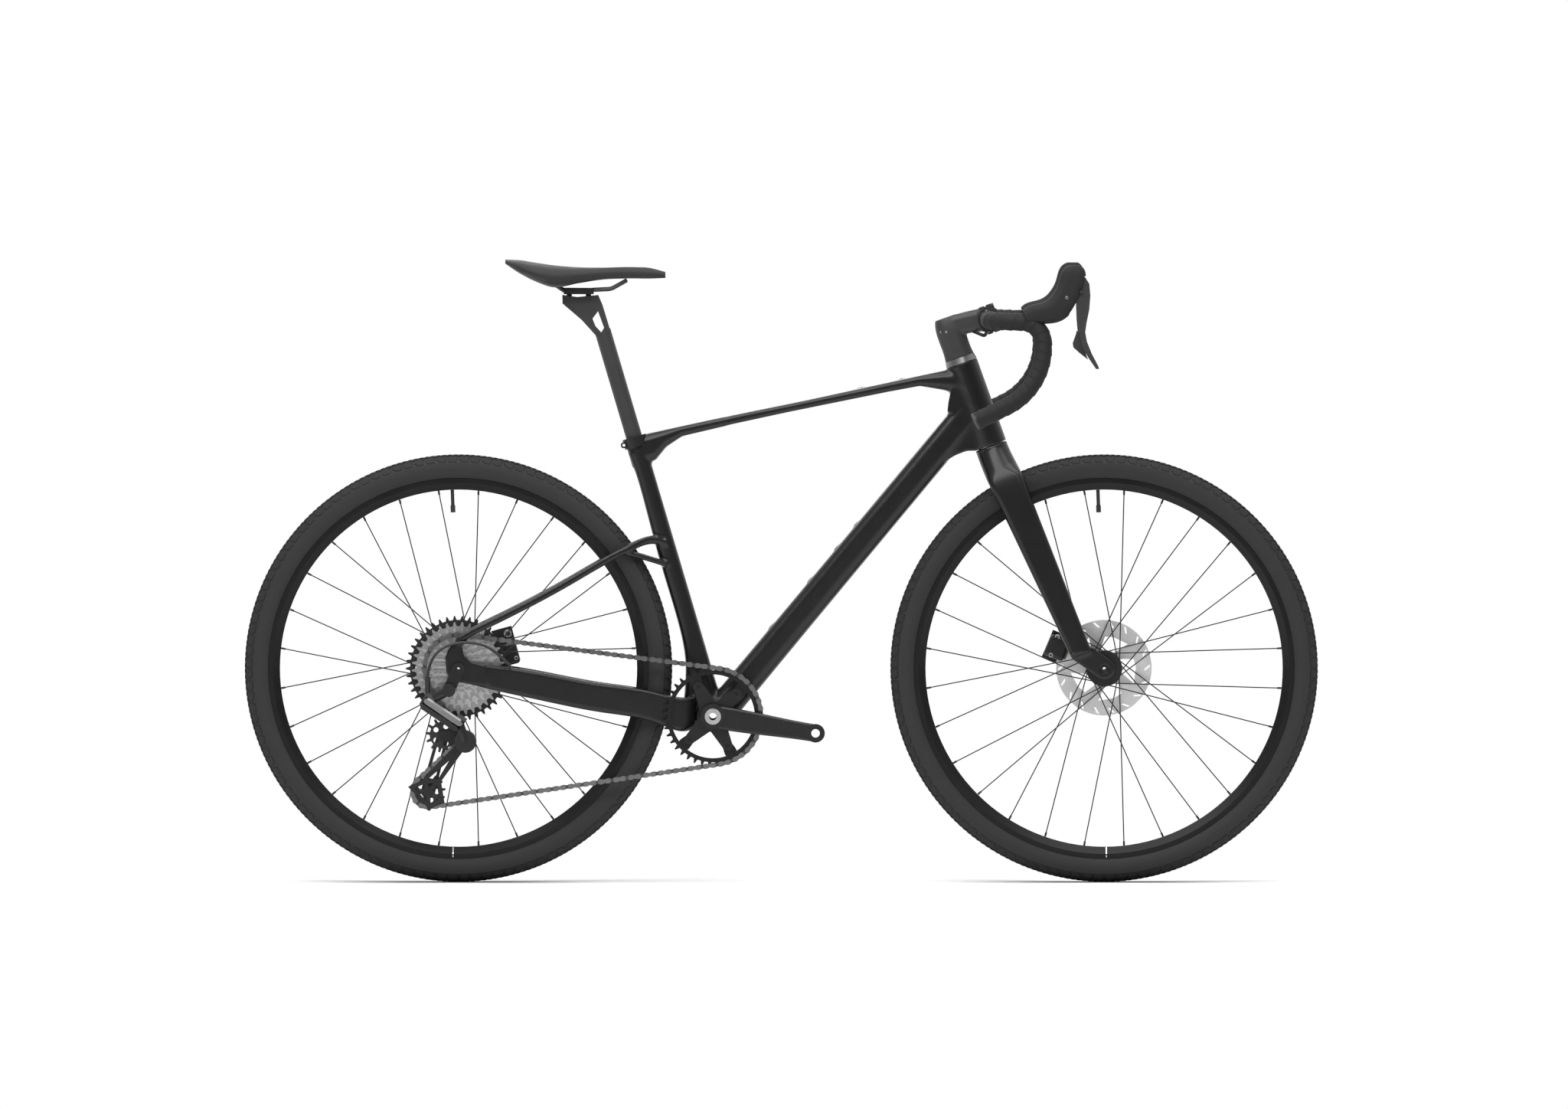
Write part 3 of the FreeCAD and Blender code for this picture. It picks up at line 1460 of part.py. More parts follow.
def make_fork():
    crown_top = s.head_low - s.crown_gap
    crown = loft([
        section(on_steer(crown_top), steer_ahead, s.head_low_radius, s.head_low_radius, 0.9),
        section(on_steer(crown_top - s.crown_depth * 0.4, s.blade_top_ahead * 0.35), steer_ahead,
                s.head_low_radius, s.crown_half_width * 0.8, 0.8),
        section(on_steer(crown_top - s.crown_depth, s.blade_top_ahead), steer_ahead, s.blade_top_depth / 2,
                s.crown_half_width, 0.7),
    ])
    solids = [crown] + steerer()
    for sign in SIDES.values():
        solids += [fork_blade(sign), fork_end(sign)]
    reach = s.front_hub_half + s.fork_end_thick + s.cut_overrun
    axle_hole = crosswise(front_axle, -reach, reach, s.thru_axle_radius + s.shaft_fit)
    fork = solids[0].multiFuse(solids[1:]).cut(wheel_well(front_axle)).cut(axle_hole)
    return feature("fork", fork.removeSplitter())


def make_headset():
    upper = ring(on_steer(s.head_top - s.upper_bearing_height), on_steer(s.head_top),
                 s.upper_bearing_radius, s.steerer_radius + s.shaft_fit)
    lower = ring(on_steer(s.head_low), on_steer(s.head_low + s.lower_bearing_height),
                 s.lower_bearing_radius, s.steerer_base_radius + s.shaft_fit)
    feature("headset_bearings", Part.Compound([upper, lower]))
    outline = [
        (s.steerer_radius + s.shaft_fit, s.seat_gap),
        (s.head_top_radius, s.seat_gap),
        (s.cover_top_radius, s.cover_height),
        (s.steerer_radius + s.shaft_fit, s.cover_height),
    ]
    place(turned("headset_cover", [outline], plane="XZ_Plane"), on_steer(s.head_top), steer_tilt)


STEM_COLUMN_SHARES = ((0.0, 0.98, 1.0), (0.45, 0.93, 1.0), (0.85, 0.86, 0.97), (1.0, 0.72, 0.85))
STEM_ARM_SHARES = ((0.0, 0.35, 0.80), (0.5, 0.25, 0.84), (1.0, 0.0, 0.94))


def stem_clamp_bolts():
    heights = (s.bar_height - s.clamp_bolt_spread, s.bar_height + s.clamp_bolt_spread)
    sides = (-s.clamp_bolt_side, s.clamp_bolt_side)
    return [(height, side) for height in heights for side in sides]


def make_stem():
    """The stem and the plate that clamps the bar against it."""
    low = s.head_top + s.cover_height
    column = []
    for share, depth_share, width_share in STEM_COLUMN_SHARES:
        column.append(section(on_steer(low + (s.stem_top - low) * share), steer_ahead,
                              s.stem_half_depth * depth_share, s.stem_half_width * width_share, 0.8))
    arm_stations = []
    for share, lift_share, half_share in STEM_ARM_SHARES:
        height = s.bar_height + (s.stem_top - s.bar_height) * lift_share
        arm_stations.append(section(on_steer(height, s.stem_length * share), steer_up,
                                    s.stem_clamp_radius * half_share, s.stem_clamp_half, 0.6))
    arm = loft(arm_stations)
    front = s.stem_length + s.faceplate_split

    def slab(ahead_low, ahead_high):
        corner = on_steer(s.bar_height - s.faceplate_ear, ahead_low, -s.stem_clamp_half)
        box = Part.makeBox(ahead_high - ahead_low, 2 * s.stem_clamp_half, 2 * s.faceplate_ear)
        turn = FreeCAD.Rotation(steer_ahead, ALONG_Y, steer_up, "XYZ")
        return box.transformed(FreeCAD.Placement(corner, turn).toMatrix())

    barrel = crosswise(bar_centre, -s.stem_clamp_half, s.stem_clamp_half, s.stem_clamp_radius)
    bar_hole = crosswise(bar_centre, -s.bar_half_width, s.bar_half_width, s.bar_clamp_radius + s.shaft_fit)
    steerer_hole = rod(on_steer(low - s.cut_overrun), on_steer(s.steerer_top + s.seat_gap),
                       s.steerer_radius + s.shaft_fit)
    holes = []
    bolts = []
    head = s.stem_length + s.faceplate_split + s.faceplate_ear_half
    for height, side in stem_clamp_bolts():
        tip = on_steer(height, head - s.clamp_bolt_length, side)
        neck = on_steer(height, head, side)
        crest = on_steer(height, head + s.clamp_bolt_head, side)
        bolts.append(rod(tip, neck, s.clamp_bolt_radius).fuse(rod(neck, crest, s.clamp_bolt_head_radius)))
        holes.append(rod(tip, crest, s.clamp_bolt_radius + s.shaft_fit))
    stem_ears = slab(s.stem_length - s.faceplate_ear_half, s.stem_length)
    stem = joined([loft(column), arm, barrel, stem_ears])
    stem = stem.cut(slab(s.stem_length, s.stem_length + s.stem_clamp_radius * 2))
    stem = stem.cut(bar_hole).cut(steerer_hole).cut(Part.Compound(holes))
    stem_node = feature("stem", stem)
    cover = barrel.fuse(slab(front, front + s.faceplate_ear_half))
    cover = cover.cut(slab(s.stem_length - s.stem_clamp_radius * 2, front))
    cover = cover.cut(bar_hole).cut(Part.Compound(holes))
    feature("stem_faceplate", Part.Compound(cover.Solids + bolts))
    return stem_node


# Handlebar, tape, plugs and hoses

def bar_points(sign, start_side):
    """The middle line of half the bar: across, forward, round the hook and back."""
    out = sign * s.bar_half_width
    return [
        bar_centre + V(0, sign * start_side, 0),
        bar_centre + V(0, out, 0),
        bar_centre + V(s.bar_reach, out, -s.bar_ramp_fall),
        bar_centre + V(s.bar_reach, out + sign * s.bar_flare_low, -s.bar_drop),
        bar_centre + V(s.bar_reach - s.bar_end_back, out + sign * s.bar_flare_end, -s.bar_drop - s.bar_end_fall),
    ]


def bar_route(sign, start_side):
    return route_wire(bar_points(sign, start_side),
                      (s.bar_corner_radius, s.bar_hook_radius, s.bar_drop_radius))


def make_handlebar():
    tube = joined([pipe(bar_route(sign, 0.0), s.bar_radius) for sign in SIDES.values()])
    bulge = crosswise(bar_centre, -s.bar_clamp_half, s.bar_clamp_half, s.bar_clamp_radius)
    cones = []
    for sign in SIDES.values():
        start = bar_centre + ALONG_Y * (sign * s.bar_clamp_half)
        cones.append(Part.makeCone(s.bar_clamp_radius, s.bar_radius, s.tape_start - s.bar_clamp_half,
                                   start, ALONG_Y * sign))
    whole = joined([tube, bulge] + cones)
    for sign in SIDES.values():
        whole = whole.cut(pipe(bar_route(sign, s.tape_start), s.bar_bore))
    return feature("handlebar", whole)


def make_tape():
    halves = []
    for sign in SIDES.values():
        path = bar_route(sign, s.tape_start)
        halves.append(pipe(path, s.tape_radius).cut(pipe(path, s.bar_radius + s.shaft_fit)))
    return feature("bar_tape", Part.Compound(halves))


def make_plugs():
    plugs = []
    for sign in SIDES.values():
        points = bar_points(sign, 0.0)
        out = (points[-1] - points[-2]).normalize()
        end = points[-1]
        cap = rod(end, end + out * s.plug_thick, s.plug_radius)
        plugs.append(cap.fuse(rod(end - out * s.plug_depth, end, s.bar_bore - s.shaft_fit)))
    feature("bar_end_plugs", Part.Compound(plugs))


# Brake hoods and levers

HOOD_SHARES = (
    (-0.66, 0.06, 22, 0.70, 0.88),
    (-0.18, 0.15, 31, 0.86, 0.94),
    (0.30, 0.22, 44, 1.00, 1.00),
    (0.64, 0.42, 60, 0.98, 0.97),
    (0.84, 0.65, 75, 0.98, 0.92),
    (0.94, 0.87, 84, 0.91, 0.80),
    (0.97, 0.99, 90, 0.41, 0.44),
)
HOOD_SLOT_SHARES = ((1.02, 0.80), (1.02, 0.52), (0.76, 0.10), (1.7, 0.10), (1.7, 0.80))
LEVER_SHARES = (
    (0.08, 0.97), (0.36, 1.0), (0.55, 0.93), (0.60, 0.80), (0.55, 0.65), (0.42, 0.50), (0.36, 0.40),
    (0.44, 0.30), (0.66, 0.17), (0.97, 0.03), (1.0, 0.0), (0.86, 0.0), (0.54, 0.11), (0.26, 0.22),
    (0.12, 0.34), (0.06, 0.50), (0.03, 0.67), (0.0, 0.83),
)
PADDLE_SHARES = (
    (0.1, 0.4), (-0.04, 0.4), (-0.22, 0.28), (-0.19, 0.235), (0.09, 0.175), (0.5, 0.1),
    (0.33, 0.2), (0.14, 0.34),
)
PADDLE_PIVOT_SHARES = (0.03, 0.4)


def hook_corner(sign):
    return bar_points(sign, 0.0)[2]


def lever_outline(sign, shares):
    corner = hook_corner(sign)
    return [(corner.x + s.lever_ahead + u * s.lever_reach, corner.z + s.lever_above + v * s.lever_height)
            for u, v in shares]


def make_hood(side_name, sign):
    """A rubber hood that grips the hook of the bar and rises to a horn over the lever."""
    corner = hook_corner(sign)
    stations = []
    for along, rise, lean, depth_share, width_share in HOOD_SHARES:
        centre = corner + V(s.hood_set + along * s.hood_reach, 0, rise * s.hood_rise)
        across = V(-math.sin(math.radians(lean)), 0, math.cos(math.radians(lean)))
        stations.append(section(centre, across, s.hood_half_depth * depth_share,
                                s.hood_half_width * width_share, 0.9))
    hood = loft(stations)
    bar = pipe(bar_route(sign, s.tape_start), s.tape_radius + s.shaft_fit)
    slot_points = [(corner.x + s.hood_set + u * s.hood_reach, corner.z + v * s.hood_rise)
                   for u, v in HOOD_SLOT_SHARES]
    slot = prism(slot_points, corner.y - s.hood_slot_half, corner.y + s.hood_slot_half)
    pivot = corner + V(s.lever_pivot_ahead, 0, s.lever_pivot_above)
    pin = crosswise(pivot, corner.y - s.lever_pin_half, corner.y + s.lever_pin_half,
                    s.lever_pin_radius + s.shaft_fit)
    solids = hood.cut(bar).cut(slot).cut(pin).Solids
    feature("lever_hood_" + side_name, max(solids, key=lambda solid: solid.Volume))


def make_lever(side_name, sign):
    corner = hook_corner(sign)
    half = s.lever_thick / 2
    blade = prism(lever_outline(sign, LEVER_SHARES), corner.y - half, corner.y + half)
    pivot = corner + V(s.lever_pivot_ahead, 0, s.lever_pivot_above)
    pin = crosswise(pivot, corner.y - s.lever_pin_half, corner.y + s.lever_pin_half, s.lever_pin_radius)
    feature("brake_lever_" + side_name, blade.fuse(pin))


def make_paddle():
    """The gear-release paddle, hinged on a barrel behind the inner face of the right lever."""
    low = hook_corner(-1).y + s.lever_thick / 2 + s.seat_gap
    blade = prism(lever_outline(-1, PADDLE_SHARES), low, low + s.paddle_thick)
    x, z = lever_outline(-1, [PADDLE_PIVOT_SHARES])[0]
    pivot = V(x, low + s.paddle_thick / 2, z)
    reach = V(s.paddle_barrel_half, 0, 0)
    barrel = rod(pivot - reach, pivot + reach, s.paddle_thick / 2)
    bore = rod(pivot - reach, pivot + reach, s.paddle_pin_radius)
    feature("shift_paddle_right", blade.fuse(barrel).cut(bore))


# Disc brake calipers and pads

def caliper_frame(axle, side, angle):
    """A local frame at a rotor: outward along the caliper, across it, and along the wheel."""
    outward = polar(V(0, 0, 0), 1, angle)
    around = V(-outward.z, 0, outward.x)
    return FreeCAD.Placement(axle + ALONG_Y * side, FreeCAD.Rotation(outward, ALONG_Y, around * -1, "XYZ"))


def local_box(frame, low, high):
    box = Part.makeBox(high.x - low.x, high.y - low.y, high.z - low.z, low)
    return box.transformed(frame.toMatrix())


def make_caliper(end, axle, side, angle, inboard, mount, foot_turn):
    """A caliper body slotted for the rotor, with a foot cut to sit on what carries it."""
    frame = caliper_frame(axle, side, angle)
    half = s.caliper_length / 2
    body = local_box(frame, V(s.caliper_inner_radius, -inboard, -half),
                     V(s.caliper_outer_radius, s.caliper_outboard, half))
    body = body.makeFillet(s.caliper_round, body.Edges)
    slot_half = s.rotor_thick / 2 + s.pad_gap + s.pad_thick + s.seat_gap
    slot = crosswise(axle, side - slot_half, side + slot_half, s.caliper_slot_radius)
    foot_low = V(s.caliper_outer_radius - s.caliper_foot_thick * 2, s.caliper_outboard - s.cut_overrun,
                 -s.caliper_foot_length / 2)
    foot_high = V(s.caliper_outer_radius, s.caliper_foot_side, s.caliper_foot_length / 2)
    if foot_turn:
        foot_low = V(s.caliper_inner_radius, s.rotor_thick + slot_half, half - s.cut_overrun)
        foot_high = V(s.caliper_outer_radius, s.caliper_outboard, half + s.caliper_foot_thick * 2)
    foot = local_box(frame, foot_low, foot_high)
    whole = body.fuse(foot).cut(slot).cut(mount)
    feature(end + "_caliper", max(whole.Solids, key=lambda solid: solid.Volume))
    for name, sign in (("inner", -1), ("outer", 1)):
        near = sign * (s.rotor_thick / 2 + s.pad_gap)
        far = near + sign * s.pad_thick
        pad = local_box(frame, V(s.rotor_radius - s.rotor_band, min(near, far), -s.pad_length / 2),
                        V(s.rotor_radius, max(near, far), s.pad_length / 2))
        disc = crosswise(axle, side - s.caliper_outboard, side + s.caliper_outboard, s.rotor_radius)
        feature(f"{end}_brake_pad_{name}", pad.common(disc))


# Seatpost and saddle

POST_HEAD_SHARES = (
    (-0.20, 0.0), (-0.46, 0.40), (-0.83, 0.82), (-0.77, 0.985), (-0.4, 0.86), (0.16, 0.78), (0.195, 0.56),
    (0.20, 0.0),
)
POST_WINDOW_SHARES = ((-0.17, 0.36), (0.03, 0.47), (0.06, 0.12), (-0.05, 0.05), (-0.15, 0.2))


def make_seatpost():
    """A round post with a flat head, pierced by a teardrop window, that leans back to the rails."""
    body = new_body("seatpost")
    round_sketch = new_sketch(body, "seatpost_round", "XY_Plane")
    add_circle(round_sketch, 0, 0, s.post_radius)
    shaft = body.newObject("PartDesign::Pad", "seatpost_shaft")
    shaft.Profile = round_sketch
    shaft.SideType = "Two sides"
    shaft.setExpression("Length", s.post_round_length.text)
    shaft.setExpression("Length2", s.post_insert.text)
    doc.recompute()
    head_sketch = new_sketch(body, "seatpost_head", "XZ_Plane")
    base = s.post_round_length - s.post_radius / 2
    add_loop(head_sketch, [(s.post_head_length * u, base + s.post_head_height * v) for u, v in POST_HEAD_SHARES])
    head = body.newObject("PartDesign::Pad", "seatpost_head_pad")
    head.Profile = head_sketch
    head.SideType = "Symmetric"
    head.setExpression("Length", s.post_head_width.text)
    doc.recompute()
    window = [(s.post_head_length * u, base + s.post_head_height * v) for u, v in POST_WINDOW_SHARES]
    pierce(body, "seatpost_window", loops=[window])
    place(body, collar_centre, seat_tilt)
    return body


RAIL_SHARES = ((0.757, 1.0), (0.66, 0.18), (0.37, 0.0), (0.31, 0.62))
SADDLE_SHARES = (
    (0.0, 0.40, 0.96, 0.82),
    (0.09, 0.88, 0.94, 0.50),
    (0.20, 1.0, 0.85, 0.20),
    (0.31, 0.93, 0.77, 0.02),
    (0.46, 0.66, 0.71, 0.16),
    (0.61, 0.43, 0.71, 0.28),
    (0.77, 0.31, 0.735, 0.315),
    (0.90, 0.27, 0.68, 0.31),
    (1.0, 0.16, 0.54, 0.33),
)


def make_saddle():
    """A short-nosed saddle: lofted through crowned sections with drawn-in sides."""
    wires = []
    for along, wide, top, low in SADDLE_SHARES:
        x = s.saddle_tail + s.saddle_length * along
        half = s.saddle_half_width * wide
        crest = s.saddle_base + s.saddle_height * top
        floor = s.saddle_base + s.saddle_height * low
        brim = floor + (crest - floor) * 0.42
        waist = half * 0.8
        top_arc = Part.Arc(V(x, -half, brim), V(x, 0, crest), V(x, half, brim))
        left_arc = Part.Arc(V(x, half, brim), V(x, half * 0.95, floor + (brim - floor) * 0.4), V(x, waist, floor))
        base_line = Part.LineSegment(V(x, waist, floor), V(x, -waist, floor))
        right_arc = Part.Arc(V(x, -waist, floor), V(x, -half * 0.95, floor + (brim - floor) * 0.4),
                             V(x, -half, brim))
        wires.append(Part.Wire([edge.toShape() for edge in (top_arc, left_arc, base_line, right_arc)]))
    return feature("saddle", loft(wires))


def rail_points(sign):
    """A rail from the nose, down and back along the clamp, and up to the tail."""
    points = []
    rise = s.saddle_height * 0.36
    for share, lift in RAIL_SHARES:
        side = s.rail_nose_half if share > 0.7 else s.rail_half_spread
        points.append(V(s.saddle_tail + s.saddle_length * share, sign * side, s.rail_height + rise * lift))
    return points


def make_rails(saddle):
    rails = []
    for sign in SIDES.values():
        path = route_wire(rail_points(sign), (s.rail_radius * 6, s.rail_radius * 2))
        solids = pipe(path, s.rail_radius).cut(saddle.Shape).Solids
        rails.append(max(solids, key=lambda solid: solid.Volume))
    return feature("saddle_rails", Part.Compound(rails))


def make_rail_clamp(rails, post):
    """Two jaws that grip the rails, drawn together on the post's head by two bolts."""
    half = s.clamp_length / 2
    jaws = []
    bolts = []
    holes = []
    for sign in (-1, 1):
        near = s.rail_height + sign * s.shaft_fit
        far = s.rail_height + sign * s.clamp_jaw
        jaws.append(Part.makeBox(s.clamp_length, 2 * s.clamp_half_width, abs(far - near),
                                 V(s.clamp_centre - half, -s.clamp_half_width, min(near, far))))
        x = s.clamp_centre + sign * s.clamp_bolt_gap / 2
        low = V(x, 0, s.rail_height - s.rail_bolt_below)
        neck = V(x, 0, s.rail_height - s.clamp_jaw - s.seat_gap)
        high = V(x, 0, s.rail_height + s.rail_bolt_above)
        bolts.append(rod(low, high, s.rail_bolt_radius).fuse(rod(low, neck, s.rail_bolt_head_radius)))
        holes.append(rod(low, high, s.rail_bolt_radius + s.shaft_fit))
    tools = Part.Compound(holes + rails.Shape.Solids)
    shapes = [max(jaw.cut(tools).cut(post).Solids, key=lambda solid: solid.Volume) for jaw in jaws]
    feature("rail_clamp", Part.Compound(shapes + [bolt.cut(post) for bolt in bolts]))


def make_collar():
    """The clamp round the top of the seat tube, with its bolt lug behind."""
    top = collar_centre
    low = on_seat(s.seat_collar_height - s.collar_height)
    bore = rod(on_seat(s.seat_collar_height - s.collar_height - s.cut_overrun),
               on_seat(s.seat_collar_height + s.cut_overrun), s.seat_tube_top_radius + s.shaft_fit)
    band = rod(low, top, s.collar_radius)
    back = on_seat(s.seat_collar_height - s.collar_height / 2, -s.collar_radius)
    lug = rod(back - ALONG_Y * s.collar_lug, back + ALONG_Y * s.collar_lug, s.collar_height * 0.3)
    bolt = rod(back - ALONG_Y * s.collar_lug * 2, back + ALONG_Y * s.collar_lug * 2, s.collar_bolt_radius)
    feature("seat_clamp_collar", band.fuse(lug).cut(bore).cut(bolt))


# Frame

TOP_TUBE_SHARES = (
    (0.0, 1.0, 0.0, 1.0), (0.035, 0.95, 0.03, 1.0), (0.075, 0.42, 0.06, 1.0), (0.13, 0.06, 0.1, 1.0),
    (0.265, 0.02, 0.2, 1.0), (0.28, 0.0, 0.22, 0.0), (0.46, 0.0, 0.4, 0.0), (0.78, 0.07, 0.75, 0.0),
    (0.88, 0.12, 0.85, 0.0), (0.945, 0.55, 0.94, 0.0), (1.0, 1.0, 1.0, 0.0),
)
DOWN_TUBE_SHARES = ((0.0, 1.04, 1.1), (0.16, 1.02, 1.0), (0.55, 1.0, 0.98), (0.86, 1.0, 0.96), (1.0, 1.0, 0.8))
UPPER_GUSSET_SHARES = (
    (-1.81, 0.53), (-1.55, 0.63), (-1.26, 0.72), (-0.9, 0.8), (0.0, 0.85), (0.0, 0.4), (-1.2, 0.4),
)
LOWER_GUSSET_SHARES = (
    (-3.1, 0.0), (-2.2, 0.03), (-1.5, 0.035), (-0.95, 0.0), (0.0, 0.0), (0.0, 0.35), (-1.9, 0.35),
)
SEAT_TUBE_SHARES = (
    (0.0, 1.6, 1.0), (0.13, 0.86, 0.9), (0.22, 0.26, 0.5), (0.28, 0.08, 0.25), (0.36, 0.0, 0.05), (0.6, 0.0, 0.0),
    (0.95, 0.0, 0.0),
)
STAY_SHARES = (
    (0.07, 0.45, 1.12, 0.62, 1.5), (0.2, 0.43, 1.08, 0.985, 1.0), (0.29, 0.365, 1.02, 1.03, 1.04),
    (0.43, 0.31, 1.0, 1.17, 1.2), (0.62, 0.215, 0.98, 1.47, 1.25), (0.77, 0.135, 0.93, 1.73, 1.15),
    (0.91, 0.07, 0.78, 1.98, 0.85), (1.0, 0.045, 0.62, 2.05, 0.64),
)
SEATSTAY_SHARES = (
    (0.0, 0.232, 1.0), (0.05, 0.292, 0.985), (0.116, 0.35, 0.94), (0.532, 0.722, 0.635), (0.69, 0.88, 0.525),
    (0.798, 0.979, 0.47), (0.861, 1.031, 0.36), (1.0, 1.043, 0.2),
)
BRIDGE_SHARES = ((0.79, 0.968, 0.46), (0.89, 0.92, 0.34), (1.0, 0.86, 0.2))
DROPOUT_SHARES = (
    (0.29, 0.80), (0.08, 0.61), (0.0, 0.45), (0.03, 0.17), (0.12, 0.06), (0.24, 0.01), (0.93, -0.07),
    (0.93, 0.30), (0.58, 0.38), (0.43, 0.49), (0.39, 0.64), (0.55, 0.81), (0.44, 0.90),
)
TOP_BOSS_SHARES = (0.70, 0.83)
DOWN_BOSS_SHARES = (0.25, 0.40, 0.505, 0.58)

top_tube_tail = on_seat(s.seat_collar_height - s.collar_height * 0.1, s.seat_tube_top_radius * 0.5)
top_tube_nose = on_steer(s.top_tube_head_height, -s.head_top_radius * 0.45)
down_tube_foot = bb_centre + V(s.down_tube_foot_ahead, 0, s.down_tube_foot_above)
down_tube_head = on_steer(s.down_tube_head_height)


def head_tube():
    length = s.head_top - s.head_low
    return Part.makeCone(s.head_low_radius, s.head_top_radius, length, on_steer(s.head_low), steer_up)


def top_tube():
    """A slim blade of a tube that deepens into a gusset at both ends."""
    along = (top_tube_nose - top_tube_tail).normalize()
    down = V(along.z, 0, -along.x)
    stations = []
    for share, gusset, widen, raised in TOP_TUBE_SHARES:
        flare = (s.top_tube_end_depth - s.top_tube_depth) * gusset
        depth = s.top_tube_depth + flare + s.top_tube_tail_rise * raised
        width = s.top_tube_seat_width + (s.top_tube_head_width - s.top_tube_seat_width) * widen
        edge = top_tube_tail + (top_tube_nose - top_tube_tail) * share - down * (s.top_tube_tail_rise * raised)
        stations.append(section(edge + down * (depth / 2), down, depth / 2, width / 2, 0.8))
    return loft(stations, True)


def down_tube():
    along = (down_tube_head - down_tube_foot).normalize()
    across = V(-along.z, 0, along.x)
    stations = []
    for share, depth_share, width_share in DOWN_TUBE_SHARES:
        centre = down_tube_foot + (down_tube_head - down_tube_foot) * share
        stations.append(section(centre, across, s.down_tube_depth / 2 * depth_share,
                                s.down_tube_width / 2 * width_share, 0.65))
    return loft(stations)


def head_gusset(shares):
    """A web that rounds off a corner between a tube and the head tube."""
    points = []
    for ahead, height in shares:
        spot = on_steer(s.head_low + (s.head_top - s.head_low) * height, s.head_low_radius * ahead)
        points.append((spot.x, spot.z))
    return prism(points, -s.head_gusset_width / 2, s.head_gusset_width / 2)


def seat_tube():
    """Round at the collar, and spreading backwards and sideways into the bottom bracket."""
    stations = []
    for share, foot_share, width_share in SEAT_TUBE_SHARES:
        depth = s.seat_tube_depth + (s.seat_tube_foot_depth - s.seat_tube_depth) * foot_share
        width = s.seat_tube_width + (s.seat_tube_foot_width - s.seat_tube_width) * width_share
        back = -(depth - s.seat_tube_depth) / 2 - s.seat_tube_set_back
        centre = on_seat(s.seat_collar_height * share, back)
        stations.append(section(centre, seat_ahead, depth / 2, width / 2, 0.85))
    lower = loft(stations)
    upper = rod(on_seat(s.seat_collar_height * 0.9), on_seat(s.seat_collar_height - s.seat_gap),
                s.seat_tube_top_radius)
    return [lower, upper]


def chainstay(sign):
    run = rear_axle - bb_centre
    stations = []
    for share, rise, depth_share, side_share, thick_share in STAY_SHARES:
        centre = V(bb_centre.x + run.x * share, sign * s.stay_front_half * side_share,
                   bb_centre.z + run.z * (1 - rise * 2))
        stations.append(section(centre, V(0, 0, 1), s.stay_depth / 2 * depth_share,
                                s.stay_thick / 2 * thick_share, 0.8))
    return loft(stations)


def seatstay_point(along, rise, side_share, sign):
    join = on_seat(s.seatstay_join_above)
    return V(rear_axle.x + (join.x - rear_axle.x) * along,
             sign * (s.rear_hub_half + s.dropout_thick / 2) * side_share,
             rear_axle.z + (join.z - rear_axle.z) * rise)


def strut(points, depth, thick):
    """A slim stay lofted through upright sections square to its run."""
    stations = []
    for index, point in enumerate(points):
        before = points[max(index - 1, 0)]
        after = points[min(index + 1, len(points) - 1)]
        along = V(after.x - before.x, 0, after.z - before.z).normalize()
        across = V(-along.z, 0, along.x)
        stations.append(section(point, across, depth / 2, thick / 2, 0.8))
    return loft(stations)


def seatstay(sign):
    points = [seatstay_point(along, rise, side, sign) for along, rise, side in SEATSTAY_SHARES]
    lower = [seatstay_point(along, rise, side, sign) for along, rise, side in BRIDGE_SHARES]
    return [strut(points, s.seatstay_depth, s.seatstay_thick), strut(lower, s.bridge_depth, s.seatstay_thick)]


def dropout(sign):
    left = rear_axle.x - s.dropout_length * 0.3
    low = rear_axle.z - s.dropout_height * 0.24
    points = [(left + s.dropout_length * u, low + s.dropout_height * v) for u, v in DROPOUT_SHARES]
    sides = sorted((sign * s.rear_hub_half, sign * (s.rear_hub_half + s.dropout_thick)))
    return prism(points, *sides)


def boss_places():
    """Where bottle and bag bosses stand: the surface point and the outward direction."""
    along = (top_tube_nose - top_tube_tail).normalize()
    up = V(-along.z, 0, along.x)
    places = [(top_tube_tail + (top_tube_nose - top_tube_tail) * share, up) for share in TOP_BOSS_SHARES]
    along = (down_tube_head - down_tube_foot).normalize()
    up = V(-along.z, 0, along.x)
    for share in DOWN_BOSS_SHARES:
        centre = down_tube_foot + (down_tube_head - down_tube_foot) * share
        places.append((centre + up * (s.down_tube_depth / 2), up))
    return places


